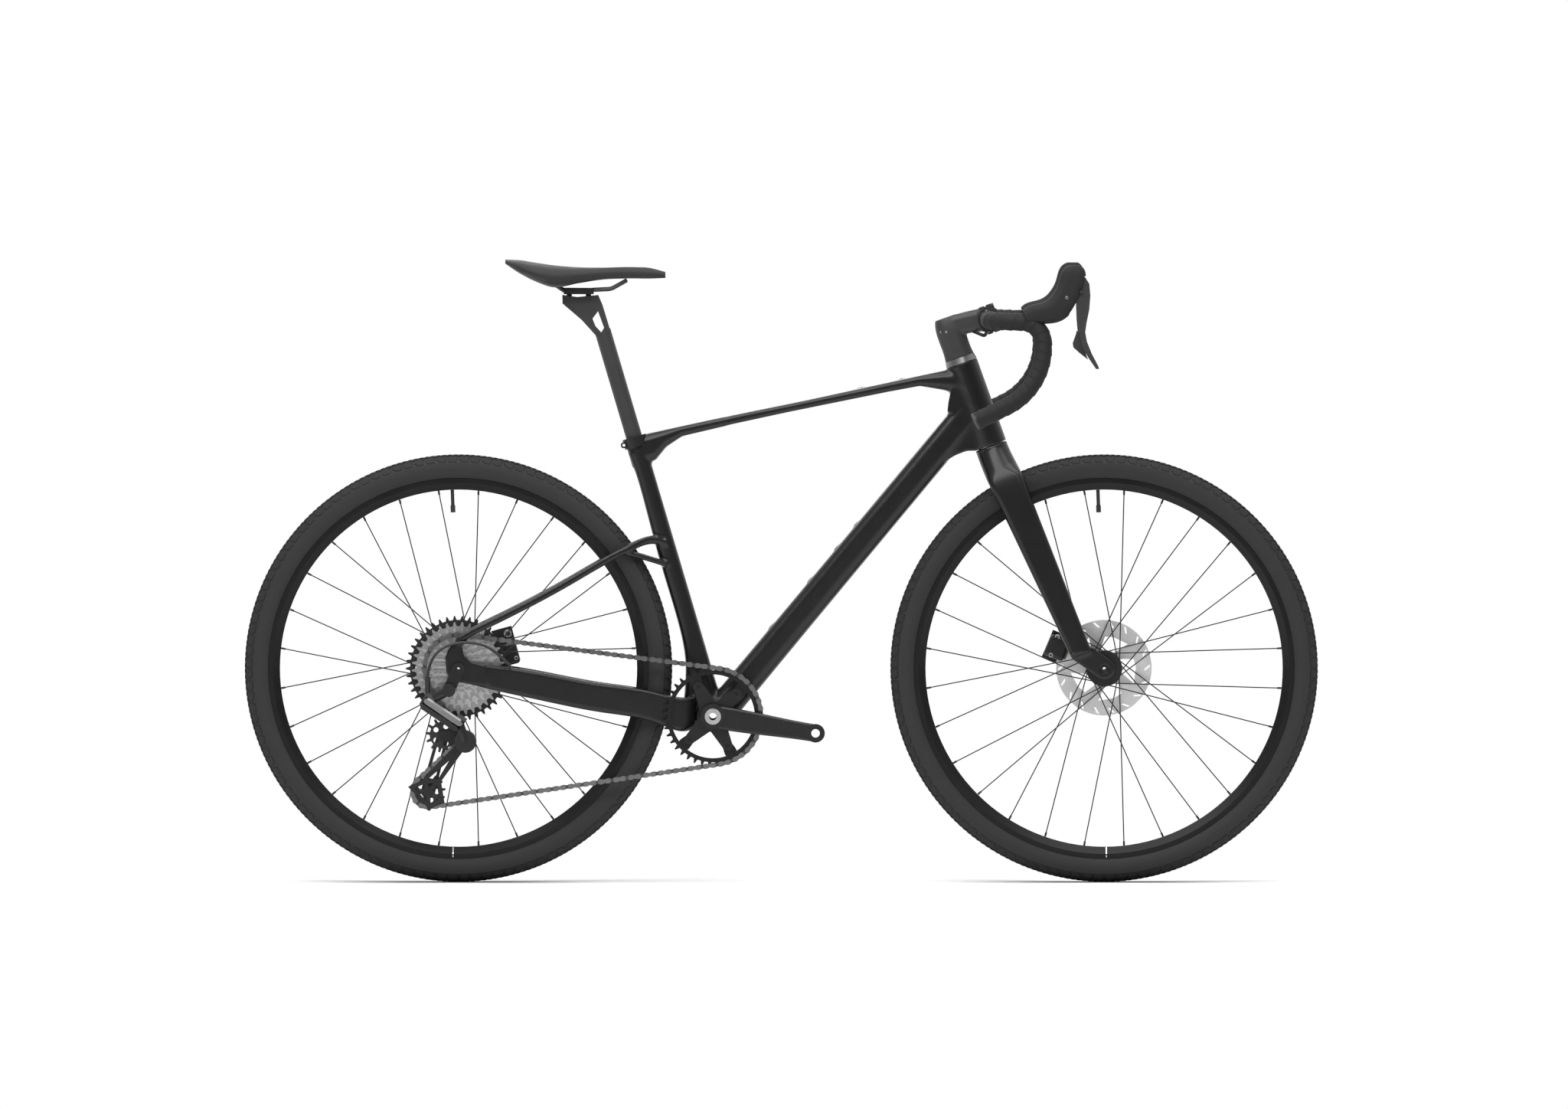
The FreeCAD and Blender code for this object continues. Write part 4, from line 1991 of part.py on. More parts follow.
def make_frame():
    solids = [head_tube(), top_tube(), down_tube()] + seat_tube()
    solids += [head_gusset(UPPER_GUSSET_SHARES), head_gusset(LOWER_GUSSET_SHARES)]
    solids.append(crosswise(bb_centre, -s.bb_shell_half, s.bb_shell_half, s.bb_shell_radius))
    for sign in SIDES.values():
        solids += [chainstay(sign), dropout(sign)] + seatstay(sign)
    for spot, up in boss_places():
        solids.append(rod(spot - up * s.boss_depth, spot + up * s.boss_height, s.boss_radius))
    frame = solids[0].multiFuse(solids[1:])
    reach = s.rear_hub_half + s.dropout_thick + s.cut_overrun
    cuts = [
        crosswise(bb_centre, -s.bb_shell_half - s.cut_overrun, s.bb_shell_half + s.cut_overrun,
                  s.bb_cup_sleeve + s.shaft_fit),
        crosswise(rear_axle, -reach, reach, s.thru_axle_radius + s.shaft_fit),
        crosswise(rear_axle, -s.rear_hub_half, s.rear_hub_half, s.hub_cap_radius + s.seat_gap),
        rod(on_seat(s.seat_collar_height - s.post_insert * 1.6), on_seat(s.seat_collar_height + s.cut_overrun),
            s.post_radius + s.shaft_fit),
        rod(on_steer(s.head_low - s.cut_overrun), on_steer(s.head_top + s.cut_overrun), s.head_bore),
        rod(on_steer(s.head_top - s.upper_bearing_height), on_steer(s.head_top + s.cut_overrun),
            s.upper_bearing_radius + s.shaft_fit),
        rod(on_steer(s.head_low - s.cut_overrun), on_steer(s.head_low + s.lower_bearing_height),
            s.lower_bearing_radius + s.shaft_fit),
        rod(on_steer(s.head_low - s.head_low_radius * 2), on_steer(s.head_low), s.head_low_radius * 2),
    ]
    collar_low = on_seat(s.seat_collar_height - s.collar_height - s.seat_gap)
    collar_high = on_seat(s.seat_collar_height + s.collar_height)
    cuts.append(ring(collar_low, collar_high, s.collar_radius + s.seat_gap, s.seat_tube_top_radius))
    for spot, up in boss_places():
        mouth = spot + up * (s.boss_height + s.cut_overrun)
        cuts.append(rod(spot - up * s.boss_depth, mouth, s.boss_thread_radius))
    for cut in cuts:
        frame = frame.cut(cut)
    return feature("frame", max(frame.Solids, key=lambda solid: solid.Volume))


HOUSING_SHARES = (
    (0.95, 0.92, 0.06), (0.66, 1.0, 0.72), (0.22, 1.06, 1.0), (-0.24, 1.08, 0.86), (-0.52, 1.14, 0.30),
    (-0.55, 1.16, -0.27),
)
HOUSING_BEND_SHARES = (0.22, 0.3, 0.3, 0.3)


def make_housing(frame):
    """The cable housing that loops from the chainstay over the axle to the derailleur."""
    points = [rear_axle + V(s.housing_span * along, -dropout_outer * out, s.housing_rise * rise)
              for along, out, rise in HOUSING_SHARES]
    path = route_wire(points, [s.housing_span * share for share in HOUSING_BEND_SHARES])
    solids = pipe(path, s.housing_radius).cut(frame).Solids
    feature("derailleur_housing", max(solids, key=lambda solid: solid.Volume))


HOSE_SHARES = ((0.0, 1.1, -1.05), (-0.1, 0.75, -1.75), (-0.42, 0.2, -1.2))


def make_hoses(cutters):
    """The two brake hoses that leave the tape and pass under the stem into its column."""
    hoses = []
    for sign in SIDES.values():
        points = [bar_centre + V(s.stem_length * ahead, sign * s.tape_start * out, s.bar_clamp_radius * rise)
                  for ahead, out, rise in HOSE_SHARES]
        hose = pipe(route_wire(points, (s.hose_radius * 5,)), s.hose_radius)
        for cutter in cutters:
            hose = hose.cut(cutter)
        hoses.append(max(hose.Solids, key=lambda solid: solid.Volume))
    feature("brake_hoses", Part.Compound(hoses))


def write_parts():
    doc.recompute()
    for thing in doc.Objects:
        if "Invalid" in thing.State or "Error" in thing.State:
            raise RuntimeError(f"{thing.Label} failed: {thing.State}")
    os.makedirs("parts", exist_ok=True)
    for thing in nodes:
        if thing.Shape.isNull() or not thing.Shape.isValid():
            raise RuntimeError(f"{thing.Label} has no valid shape")
    for thing in nodes:
        thing.Shape.exportStep(f"parts/{thing.Label}.step")


make_wheel("front", front_axle, s.front_hub_half, s.front_right_flange, s.front_left_flange,
           s.front_hub_right_end, s.front_hub_left_end, s.front_rotor_side)
make_wheel("rear", rear_axle, s.rear_hub_half, s.rear_right_flange, s.rear_left_flange,
           s.rear_hub_right_end, s.rear_hub_left_end, s.rear_rotor_side)
make_thru_axle("front_thru_axle", front_axle, -s.front_hub_half - s.fork_end_thick,
               s.front_hub_half + s.fork_end_thick)
make_thru_axle("rear_thru_axle", rear_axle, hanger_outer, dropout_outer)
make_chain()
make_cassette()
make_freehub()
make_chainring()
make_cranks()
make_bb_cups()
make_hanger()
make_knuckles()
make_derailleur_link("derailleur_outer_link", outer_pivot)
make_derailleur_link("derailleur_inner_link", inner_pivot)
make_cage()
make_pulley("guide_pulley", guide_centre)
make_pulley("tension_pulley", tension_centre)
fork = make_fork()
make_headset()
stem = make_stem()
handlebar = make_handlebar()
tape = make_tape()
make_hoses((stem.Shape, handlebar.Shape, tape.Shape))
make_plugs()
for side_name, sign in SIDES.items():
    make_hood(side_name, sign)
    make_lever(side_name, sign)
make_paddle()
post = make_seatpost()
doc.recompute()
saddle = make_saddle()
rails = make_rails(saddle)
make_rail_clamp(rails, post.Shape)
make_collar()
frame = make_frame()
make_housing(frame.Shape)
make_caliper("front", front_axle, s.front_rotor_side, s.front_caliper_angle, s.caliper_inboard, fork.Shape, False)
make_caliper("rear", rear_axle, s.rear_rotor_side, s.rear_caliper_angle, s.caliper_inboard, frame.Shape, True)
write_parts()
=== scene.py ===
import math

import bmesh
import bpy
import numpy as np
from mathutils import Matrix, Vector


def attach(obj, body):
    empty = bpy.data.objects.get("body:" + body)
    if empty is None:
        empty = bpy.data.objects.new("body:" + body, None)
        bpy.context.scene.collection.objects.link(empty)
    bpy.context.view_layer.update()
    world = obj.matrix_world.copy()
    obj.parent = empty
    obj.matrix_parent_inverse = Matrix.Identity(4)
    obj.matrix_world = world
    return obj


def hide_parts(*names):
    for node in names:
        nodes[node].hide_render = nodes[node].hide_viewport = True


# Looks of a drop-bar gravel bike. Metres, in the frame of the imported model:
# +X forward, +Y to the rider's left, +Z up, origin on the ground between the wheels.

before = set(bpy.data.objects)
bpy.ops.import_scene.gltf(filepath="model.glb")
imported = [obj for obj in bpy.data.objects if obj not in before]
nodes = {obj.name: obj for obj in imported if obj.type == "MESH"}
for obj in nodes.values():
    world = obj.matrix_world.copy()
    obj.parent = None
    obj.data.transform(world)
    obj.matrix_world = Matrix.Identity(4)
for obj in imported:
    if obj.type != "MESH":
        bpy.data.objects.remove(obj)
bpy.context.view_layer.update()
scene = bpy.context.scene
scene.view_settings.view_transform = "Standard"

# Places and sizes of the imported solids
FRONT_AXLE = Vector((0.5405, 0, 0.358))
REAR_AXLE = Vector((-0.5405, 0, 0.358))
BB = Vector((-0.1145, 0, 0.2785))
COG_SIDE = -0.025
COG_STEP = 0.0039
CHAIN_WIDE = 0.0050
CRANK_FACE = 0.0705
CAP_RADIUS = 0.0145
NODE_SHADE = 30
RIGHT = Vector((0, -1, 0))


# Camera and stage

VIEW_CENTRE = Vector((0.0045, 0, 0.5483))
VIEW_WIDTH = 2.6256
VIEW_DISTANCE = 60.0
SENSOR = 36.0
VIEW_RISE = 1.1
VIEW_CLIP = (1.0, 300.0)
WHITE = (1, 1, 1, 1)

# The sky is bright above and behind the bike, and plain white to the camera.
SKY_TOP = 0.8
SKY_LIGHT = (0.10, 0.9)
BEHIND_EDGE = 0.4
BEHIND_LIGHT = 0.5

# The floor's shadow fades away from the wheels, sooner to the sides than at the ends.
FLOOR_HALF = 6.0
FLOOR_END = 0.75
FLOOR_SIDE = 1.6
FLOOR_FADE = (0.35, 1.1)
PAPER_GRAIN = 400.0
PAPER_BAND = (0.3, 0.7)
PAPER_TONES = (0.93, 0.97)
# Painted shade under the tyres: how far the occlusion test reaches, its band, and the tones it gives the
# paper
CONTACT_SHADE_REACH = 0.3
CONTACT_SHADE_BAND = (0.35, 0.95)
CONTACT_SHADE_TONES = (0.05, 1.0)

# Name, place, aim, width, height and watts
LAMPS = (
    ("top_softbox", (0, -0.6, 3.4), (0, 0, 0.4), 4.0, 2.0, 62),
    ("front_softbox", (-0.6, -3.0, 3.2), (0, 0, 0.5), 3.6, 1.4, 80),
    ("back_strip", (0, 3.4, 2.2), (0, 0, 0.6), 3.6, 0.8, 30),
)


def make_camera():
    data = bpy.data.cameras.new("camera")
    data.sensor_width = SENSOR
    data.lens = SENSOR * VIEW_DISTANCE / VIEW_WIDTH
    data.clip_start, data.clip_end = VIEW_CLIP
    camera = bpy.data.objects.new("camera", data)
    rise = math.radians(VIEW_RISE)
    back = Vector((0, -math.cos(rise), math.sin(rise)))
    camera.location = VIEW_CENTRE + back * VIEW_DISTANCE
    camera.rotation_mode = "QUATERNION"
    camera.rotation_quaternion = (-back).to_track_quat("-Z", "Y")
    scene.collection.objects.link(camera)
    scene.camera = camera


class Nodes:
    """A node tree with short calls for adding and joining nodes."""

    def __init__(self, tree):
        self.tree = tree
        tree.nodes.clear()

    def add(self, kind, inputs=None, **settings):
        node = self.tree.nodes.new(kind)
        for key, value in settings.items():
            setattr(node, key, value)
        for key, value in (inputs or {}).items():
            if isinstance(value, bpy.types.NodeSocket):
                self.tree.links.new(value, node.inputs[key])
            else:
                node.inputs[key].default_value = value
        return node

    def math(self, operation, first, second=0.0):
        return self.add("ShaderNodeMath", {0: first, 1: second}, operation=operation).outputs[0]

    def ramp(self, value, low, high, to_low, to_high):
        inputs = {"Value": value, "From Min": low, "From Max": high, "To Min": to_low, "To Max": to_high}
        return self.add("ShaderNodeMapRange", inputs).outputs["Result"]

    def mix(self, share, first, second):
        inputs = {0: share, 6: first, 7: second}
        return self.add("ShaderNodeMix", inputs, data_type="RGBA").outputs[2]

    def noise(self, coordinate, scale, detail=3.0, rough=0.5):
        inputs = {"Vector": coordinate, "Scale": scale, "Detail": detail, "Roughness": rough}
        return self.add("ShaderNodeTexNoise", inputs).outputs["Fac"]


def grey(value, cool=1.0):
    return (value, value, value * cool, 1)


def make_world():
    world = bpy.data.worlds.new("studio")
    scene.world = world
    world.use_nodes = True
    n = Nodes(world.node_tree)
    path = n.add("ShaderNodeLightPath")
    direction = n.add("ShaderNodeTexCoord").outputs["Generated"]
    split = n.add("ShaderNodeSeparateXYZ", {0: direction})
    high = n.ramp(split.outputs["Z"], 0.0, SKY_TOP, *SKY_LIGHT)
    behind = n.ramp(split.outputs["Y"], -BEHIND_EDGE, BEHIND_EDGE, 0.0, 1.0)
    light = n.math("MAXIMUM", high, n.math("MULTIPLY", behind, BEHIND_LIGHT))
    mirrored = n.math("MAXIMUM", path.outputs["Is Glossy Ray"], path.outputs["Is Transmission Ray"])
    seen = n.math("MAXIMUM", path.outputs["Is Camera Ray"], n.math("MULTIPLY", mirrored, behind))
    strength = n.add("ShaderNodeMix", {0: seen, 2: light, 3: 1.0}, data_type="FLOAT").outputs[0]
    back = n.add("ShaderNodeBackground", {"Color": WHITE, "Strength": strength})
    n.add("ShaderNodeOutputWorld", {0: back.outputs[0]})


def make_floor():
    """A pale sheet that catches the shadow near the wheels, with painted shade darkening it under the tyres,
    and fades to white away from them.
    """
    mesh = bpy.data.meshes.new("floor")
    corners = [(x * FLOOR_HALF, y * FLOOR_HALF, 0) for x, y in ((-1, -1), (1, -1), (1, 1), (-1, 1))]
    mesh.from_pydata(corners, [], [(0, 1, 2, 3)])
    floor = bpy.data.objects.new("floor", mesh)
    scene.collection.objects.link(floor)
    material = bpy.data.materials.new("floor_paper")
    material.use_nodes = True
    n = Nodes(material.node_tree)
    place = n.add("ShaderNodeTexCoord").outputs["Object"]
    split = n.add("ShaderNodeSeparateXYZ", {0: place})
    side = n.math("ABSOLUTE", split.outputs["Y"])
    ends = n.math("SUBTRACT", n.math("ABSOLUTE", split.outputs["X"]), FLOOR_END)
    reach = n.math("MAXIMUM", n.math("MULTIPLY", side, FLOOR_SIDE), ends)
    fade = n.ramp(reach, *FLOOR_FADE, 0.0, 1.0)
    grain = n.ramp(n.noise(place, PAPER_GRAIN), *PAPER_BAND, *PAPER_TONES)
    near = n.add("ShaderNodeAmbientOcclusion", {"Distance": CONTACT_SHADE_REACH}, samples=16)
    # Painted shade: the paper's grain is darkened where the occlusion test finds the tyres close above it
    grain = n.math("MULTIPLY", grain, n.ramp(near.outputs["AO"], *CONTACT_SHADE_BAND, *CONTACT_SHADE_TONES))
    tone = n.add("ShaderNodeCombineColor", {0: grain, 1: grain, 2: grain}).outputs[0]
    paper = n.add("ShaderNodeBsdfDiffuse", {"Color": tone}).outputs[0]
    white = n.add("ShaderNodeEmission", {"Color": WHITE, "Strength": 1.0}).outputs[0]
    camera_ray = n.add("ShaderNodeLightPath").outputs["Is Camera Ray"]
    blend = n.add("ShaderNodeMixShader", {0: n.math("MULTIPLY", fade, camera_ray), 1: paper, 2: white})
    n.add("ShaderNodeOutputMaterial", {0: blend.outputs[0]})
    mesh.materials.append(material)


def lamp(name, place, aim, width, height, watts):
    data = bpy.data.lights.new(name, "AREA")
    data.shape = "RECTANGLE"
    data.size, data.size_y = width, height
    data.energy = watts
    light = bpy.data.objects.new(name, data)
    light.location = place
    light.rotation_mode = "QUATERNION"
    light.rotation_quaternion = (Vector(aim) - Vector(place)).to_track_quat("-Z", "Y")
    scene.collection.objects.link(light)


# Materials. Object coordinates are metres in the model's frame.

FINE_SHARE, BROAD_SHARE = 0.6, 0.4
BROAD_SIZE = 40
TINT_BAND = (0.35, 0.65)
ROUGH_BAND = (0.3, 0.7)
ROUGH_LEAST = 0.02


def surface(name, colour, rough, *, spread, grain, bump,
            metal=0.0, depth=0.0002, rough_spread=0.12, specular=0.5):
    """A surface whose colour, roughness and relief vary with fine and broad noise."""
    material = bpy.data.materials.new(name)
    material.use_nodes = True
    n = Nodes(material.node_tree)
    place = n.add("ShaderNodeTexCoord").outputs["Object"]
    fine = n.noise(place, grain, 4.0, 0.6)
    broad = n.noise(place, grain / BROAD_SIZE, 3.0)
    mixed = n.math("ADD", n.math("MULTIPLY", fine, FINE_SHARE), n.math("MULTIPLY", broad, BROAD_SHARE))
    low = tuple(c * (1 - spread) for c in colour[:3]) + (1,)
    high = tuple(min(1, c * (1 + spread)) for c in colour[:3]) + (1,)
    tint = n.mix(n.ramp(mixed, *TINT_BAND, 0.0, 1.0), low, high)
    smoothest, roughest = max(ROUGH_LEAST, rough - rough_spread), min(1, rough + rough_spread)
    roughness = n.ramp(mixed, *ROUGH_BAND, smoothest, roughest)
    relief = n.add("ShaderNodeBump", {"Height": fine, "Strength": bump, "Distance": depth})
    shader = n.add("ShaderNodeBsdfPrincipled", {
        "Base Color": tint, "Roughness": roughness, "Normal": relief.outputs[0], "Metallic": metal,
        "Specular IOR Level": specular,
    })
    n.add("ShaderNodeOutputMaterial", {0: shader.outputs[0]})
    return material


def make_materials():
    return {
        "carbon": surface(
            "carbon_paint", grey(0.0055), 0.3, spread=0.15, rough_spread=0.03, grain=1400, bump=0.015,
            specular=0.4),
        "rim": surface(
            "rim_carbon", grey(0.006), 0.34, spread=0.2, rough_spread=0.05, grain=1100, bump=0.04,
            specular=0.25),
        "tyre": surface(
            "tyre_rubber", grey(0.023), 0.7, spread=0.12, grain=1500, bump=0.3, depth=0.0003, specular=0.3),
        "tread": surface(
            "tread_rubber", grey(0.021), 0.76, spread=0.15, grain=900, bump=0.45, depth=0.0004, specular=0.3),
        "black_alloy": surface(
            "black_alloy", grey(0.012), 0.33, metal=0.3, spread=0.15, rough_spread=0.05, grain=1800,
            bump=0.04),
        "satin_black": surface(
            "satin_black", grey(0.022), 0.48, spread=0.15, rough_spread=0.06, grain=1600, bump=0.1),
        "dark_alloy": surface(
            "dark_alloy", grey(0.023), 0.36, metal=0.5, spread=0.15, rough_spread=0.06, grain=1500,
            bump=0.06),
        "spoke": surface(
            "spoke_black", grey(0.022), 0.35, metal=0.5, spread=0.04, rough_spread=0.02, grain=60, bump=0.01),
        "steel": surface(
            "bright_steel", grey(0.5, 1.02), 0.3, metal=1.0, spread=0.1, rough_spread=0.06, grain=1500,
            bump=0.04),
        "rotor_steel": surface(
            "rotor_steel", grey(0.72), 0.36, metal=1.0, spread=0.1, rough_spread=0.06, grain=1800, bump=0.05),
        "cog": surface(
            "cog_steel", grey(0.6), 0.3, metal=1.0, spread=0.08, rough_spread=0.04, grain=600, bump=0.015),
        # Painted shade: a darker copy of the sprocket steel, for every other sprocket
        "cog_shaded": surface(
            "cog_steel_shaded", grey(0.4), 0.34, metal=1.0, spread=0.08, rough_spread=0.04, grain=600, bump=0.015),
        "cog_black": surface(
            "cog_black", grey(0.02), 0.4, metal=0.5, spread=0.2, rough_spread=0.06, grain=1600, bump=0.05),
        "ring": surface(
            "ring_black", grey(0.006), 0.36, spread=0.15, rough_spread=0.05, grain=1600, bump=0.04,
            specular=0.3),
        "link": surface(
            "link_alloy", grey(0.22), 0.3, metal=0.9, spread=0.12, rough_spread=0.06, grain=1500, bump=0.05),
        "bolt": surface(
            "bolt_steel", grey(0.55), 0.28, metal=1.0, spread=0.1, rough_spread=0.05, grain=2000, bump=0.04),
        "chain": surface(
            "chain_dark", grey(0.09), 0.36, metal=1.0, spread=0.1, rough_spread=0.05, grain=600, bump=0.02),
        "chain_plate": surface(
            "chain_steel", grey(0.2), 0.32, metal=1.0, spread=0.1, rough_spread=0.05, grain=600, bump=0.02),
        "cap": surface(
            "cap_alloy", grey(0.6), 0.3, metal=1.0, spread=0.08, rough_spread=0.05, grain=1500, bump=0.04),
        "tape": surface(
            "bar_tape", grey(0.012), 0.7, spread=0.15, grain=700, bump=0.4, depth=0.0004, specular=0.3),
        "hood": surface(
            "hood_rubber", grey(0.014), 0.72, spread=0.12, grain=1300, bump=0.35, depth=0.0003, specular=0.3),
        "saddle": surface(
            "saddle_cover", grey(0.02), 0.66, spread=0.1, grain=1600, bump=0.3, depth=0.0003, specular=0.35),
        "shell": surface(
            "saddle_shell", grey(0.016), 0.5, spread=0.15, grain=1500, bump=0.15),
        "housing": surface(
            "cable_housing", grey(0.014), 0.42, spread=0.15, rough_spread=0.05, grain=1200, bump=0.08),
        "pad": surface(
            "brake_pad", (0.09, 0.075, 0.06, 1), 0.8, spread=0.3, grain=1500, bump=0.4),
        "plastic": surface(
            "black_plastic", grey(0.014), 0.5, spread=0.15, grain=1500, bump=0.15),
    }


# The looks of the nodes that are shown as they are. All others are black alloy.
NODE_LOOKS = {
    "rim": ("front_rim", "rear_rim"),
    "spoke": ("front_spokes", "rear_spokes"),
    "rotor_steel": ("front_rotor", "rear_rotor"),
    "cog": ("cassette_sprockets", "freehub_body"),
    "chain": ("chain",),
    "ring": ("chainring",),
    "link": ("derailleur_outer_link", "headset_cover"),
    "steel": ("headset_bearings", "front_hub_bearings", "rear_hub_bearings"),
    "housing": ("brake_hoses",),
    "pad": ("front_brake_pad_inner", "front_brake_pad_outer", "rear_brake_pad_inner", "rear_brake_pad_outer"),
    "plastic": ("bar_end_plugs", "guide_pulley", "tension_pulley", "front_valve", "rear_valve"),
    "dark_alloy": ("derailleur_inner_link", "derailleur_b_knuckle", "derailleur_p_knuckle",
                   "derailleur_cage", "front_caliper", "rear_caliper"),
    "satin_black": ("seatpost", "stem_faceplate", "saddle_rails", "brake_lever_right", "brake_lever_left",
                    "shift_paddle_right"),
}


def dress_nodes():
    looks = {name: look for look, names in NODE_LOOKS.items() for name in names}
    for name, node in nodes.items():
        node.data.materials.clear()
        node.data.materials.append(materials[looks.get(name, "black_alloy")])
        smooth_by_angle(node.data, NODE_SHADE)


def paint_where(name, look, test):
    """Gives another material to the faces of a node whose middle passes the test."""
    mesh = nodes[name].data
    mesh.materials.append(materials[look])
    index = len(mesh.materials) - 1
    for face in mesh.polygons:
        if test(face.center):
            face.material_index = index


SAME_PLACE = 0.000001


def islands(mesh):
    """The connected parts of a mesh, each as a list of its faces' numbers and places across the bike."""
    bm = bmesh.new()
    bm.from_mesh(mesh)
    bmesh.ops.remove_doubles(bm, verts=bm.verts, dist=SAME_PLACE)
    seen = set()
    parts = []
    for start in bm.faces:
        if start in seen:
            continue
        seen.add(start)
        part = [start]
        for face in part:
            for edge in face.edges:
                fresh = [other for other in edge.link_faces if other not in seen]
                seen.update(fresh)
                part.extend(fresh)
        parts.append([(face.index, face.calc_center_median().y) for face in part])
    bm.free()
    return parts


def paint_chain():
    """Lighter outer links, which are the wider ones, on a darker chain."""
    mesh = nodes["chain"].data
    parts = islands(mesh)
    mesh.materials.append(materials["chain_plate"])
    for part in parts:
        sides = [side for _, side in part]
        if max(sides) - min(sides) > CHAIN_WIDE:
            for index, _ in part:
                mesh.polygons[index].material_index = 1


def paint_drivetrain():
    """Bright sprockets and darker ones with painted shade by turns, with a black largest one, and bright caps
    on the cranks.
    """
    paint_chain()
    # Painted shade: every other sprocket is darker, standing in for the shadow the sprockets cast on each
    # other
    paint_where("cassette_sprockets", "cog_shaded", lambda c: round((COG_SIDE - c.y) / COG_STEP) % 2 == 1)
    paint_where("cassette_sprockets", "cog_black", lambda c: c.y > COG_SIDE - COG_STEP / 2)
    paint_where("crank_right", "cap", lambda c: c.y < -CRANK_FACE and (c - BB).xz.length < CAP_RADIUS)
    paint_where("crank_left", "cap", lambda c: c.y > CRANK_FACE and (c - BB).xz.length < CAP_RADIUS)


# Shared mesh tools

def smooth_by_angle(mesh, degrees):
    mesh.shade_smooth()
    mesh.set_sharp_from_angle(angle=math.radians(degrees))


def new_piece(name, verts, faces, look, slot, shade):
    mesh = bpy.data.meshes.new(name)
    mesh.from_pydata([tuple(v) for v in verts], [], faces)
    mesh.validate()
    builder = bmesh.new()
    builder.from_mesh(mesh)
    bmesh.ops.recalc_face_normals(builder, faces=builder.faces)
    builder.to_mesh(mesh)
    builder.free()
    smooth_by_angle(mesh, shade)
    mesh.materials.append(materials[look])
    piece = bpy.data.objects.new(name, mesh)
    scene.collection.objects.link(piece)
    return piece


def grid_faces(rows, columns, close_rows=False, close_columns=False):
    """Four-sided faces between rows of points, joined round either way if asked."""
    faces = []
    for i in range(rows if close_rows else rows - 1):
        for j in range(columns if close_columns else columns - 1):
            a, b = i * columns + j, i * columns + (j + 1) % columns
            c, d = ((i + 1) % rows) * columns + (j + 1) % columns, ((i + 1) % rows) * columns + j
            faces.append((a, b, c, d))
    return faces


def smooth_rows(rows, count):
    """Catmull-Rom values at count even places through rows of numbers, with the first column as the place."""
    rows = np.array(rows, float)
    places = np.linspace(rows[0, 0], rows[-1, 0], count)
    result = []
    for x in places:
        i = int(np.clip(np.searchsorted(rows[:, 0], x) - 1, 0, len(rows) - 2))
        p1, p2 = rows[i], rows[i + 1]
        p0 = rows[i - 1] if i > 0 else p1 - (p2 - p1)
        p3 = rows[i + 2] if i + 2 < len(rows) else p2 + (p2 - p1)
        span = p2[0] - p1[0]
        t = (x - p1[0]) / span
        m1 = (p2 - p0) / (p2[0] - p0[0]) * span
        m2 = (p3 - p1) / (p3[0] - p1[0]) * span
        value = ((2 * t ** 3 - 3 * t ** 2 + 1) * p1 + (t ** 3 - 2 * t ** 2 + t) * m1
                 + (-2 * t ** 3 + 3 * t ** 2) * p2 + (t ** 3 - t ** 2) * m2)
        value[0] = x
        result.append(value)
    return np.array(result)


# Tyres with a low knobbed tread

TYRE_RADIUS = 0.358
TYRE_SECTION = 0.023
TYRE_CENTRE = TYRE_RADIUS - TYRE_SECTION
CASING_INNER = 0.0198
CASING_INNER_END = 118
CASING_INNER_STEPS = 9
CASING_TURNS = 360
BEAD = ((0.3190, 0.0166), (0.3190, 0.0123), (0.3125, 0.0122), (0.3125, 0.0087), (0.3172, 0.0087))
TREAD_BASE = 0.0217
TREAD_SUNK = 0.0003
TREAD_STEPS = 232
# Blocks of the tread: leans in degrees, starts and ends in steps of the turn at each lean, top and taper
CENTRE_BLOCK = ((-8, -2.7, 2.7, 8), (0.22, 0.1, 0.1, 0.22), (0.9, 0.78, 0.78, 0.9), TYRE_SECTION, 0.1)
SIDE_BLOCK = ((11.5, 18, 24.5), (0.5, 0.62, 0.74), (1.2, 1.32, 1.44), 0.02295, 0.1)
LONG_BLOCK = ((29, 38, 47, 55, 62), (0.1, 0.14, 0.2, 0.2, 0.28), (1.75, 1.8, 1.86, 1.5, 1.42), 0.0230, 0.06)
SHORT_BLOCK = ((29, 38, 47, 55, 62), (0.2, 0.22, 0.3, 0.3, 0.3), (1.7, 1.74, 1.8, 1.8, 1.6), 0.0230, 0.06)
# Lean in degrees and distance from the middle of the section
CASING = (
    (0, 0.0217), (30, 0.0217), (52, 0.0217), (61, 0.0218), (65, 0.0226), (67.5, 0.02285), (70, 0.0225),
    (76, 0.0225), (92, 0.0226), (108, 0.0226), (120, 0.0226), (127, 0.0228), (132, 0.0226),
)


def torus_point(turn, lean, section):
    radius = TYRE_CENTRE + section * math.cos(lean)
    return (radius * math.cos(turn), section * math.sin(lean), radius * math.sin(turn))


def casing_mesh():
    """A closed casing: the outline over the tread, both beads and the inner side, turned about the axle."""
    half = [(TYRE_CENTRE + r * math.cos(math.radians(a)), r * math.sin(math.radians(a))) for a, r in CASING]
    half += list(BEAD)
    loop = [(radius, -side) for radius, side in reversed(half[1:])] + half
    inner = np.radians(np.linspace(CASING_INNER_END, -CASING_INNER_END, CASING_INNER_STEPS))
    loop += [(TYRE_CENTRE + CASING_INNER * math.cos(a), CASING_INNER * math.sin(a)) for a in inner]
    verts = []
    for k in range(CASING_TURNS):
        turn = 2 * math.pi * k / CASING_TURNS
        verts += [(radius * math.cos(turn), side, radius * math.sin(turn)) for radius, side in loop]
    return verts, grid_faces(CASING_TURNS, len(loop), True, True)


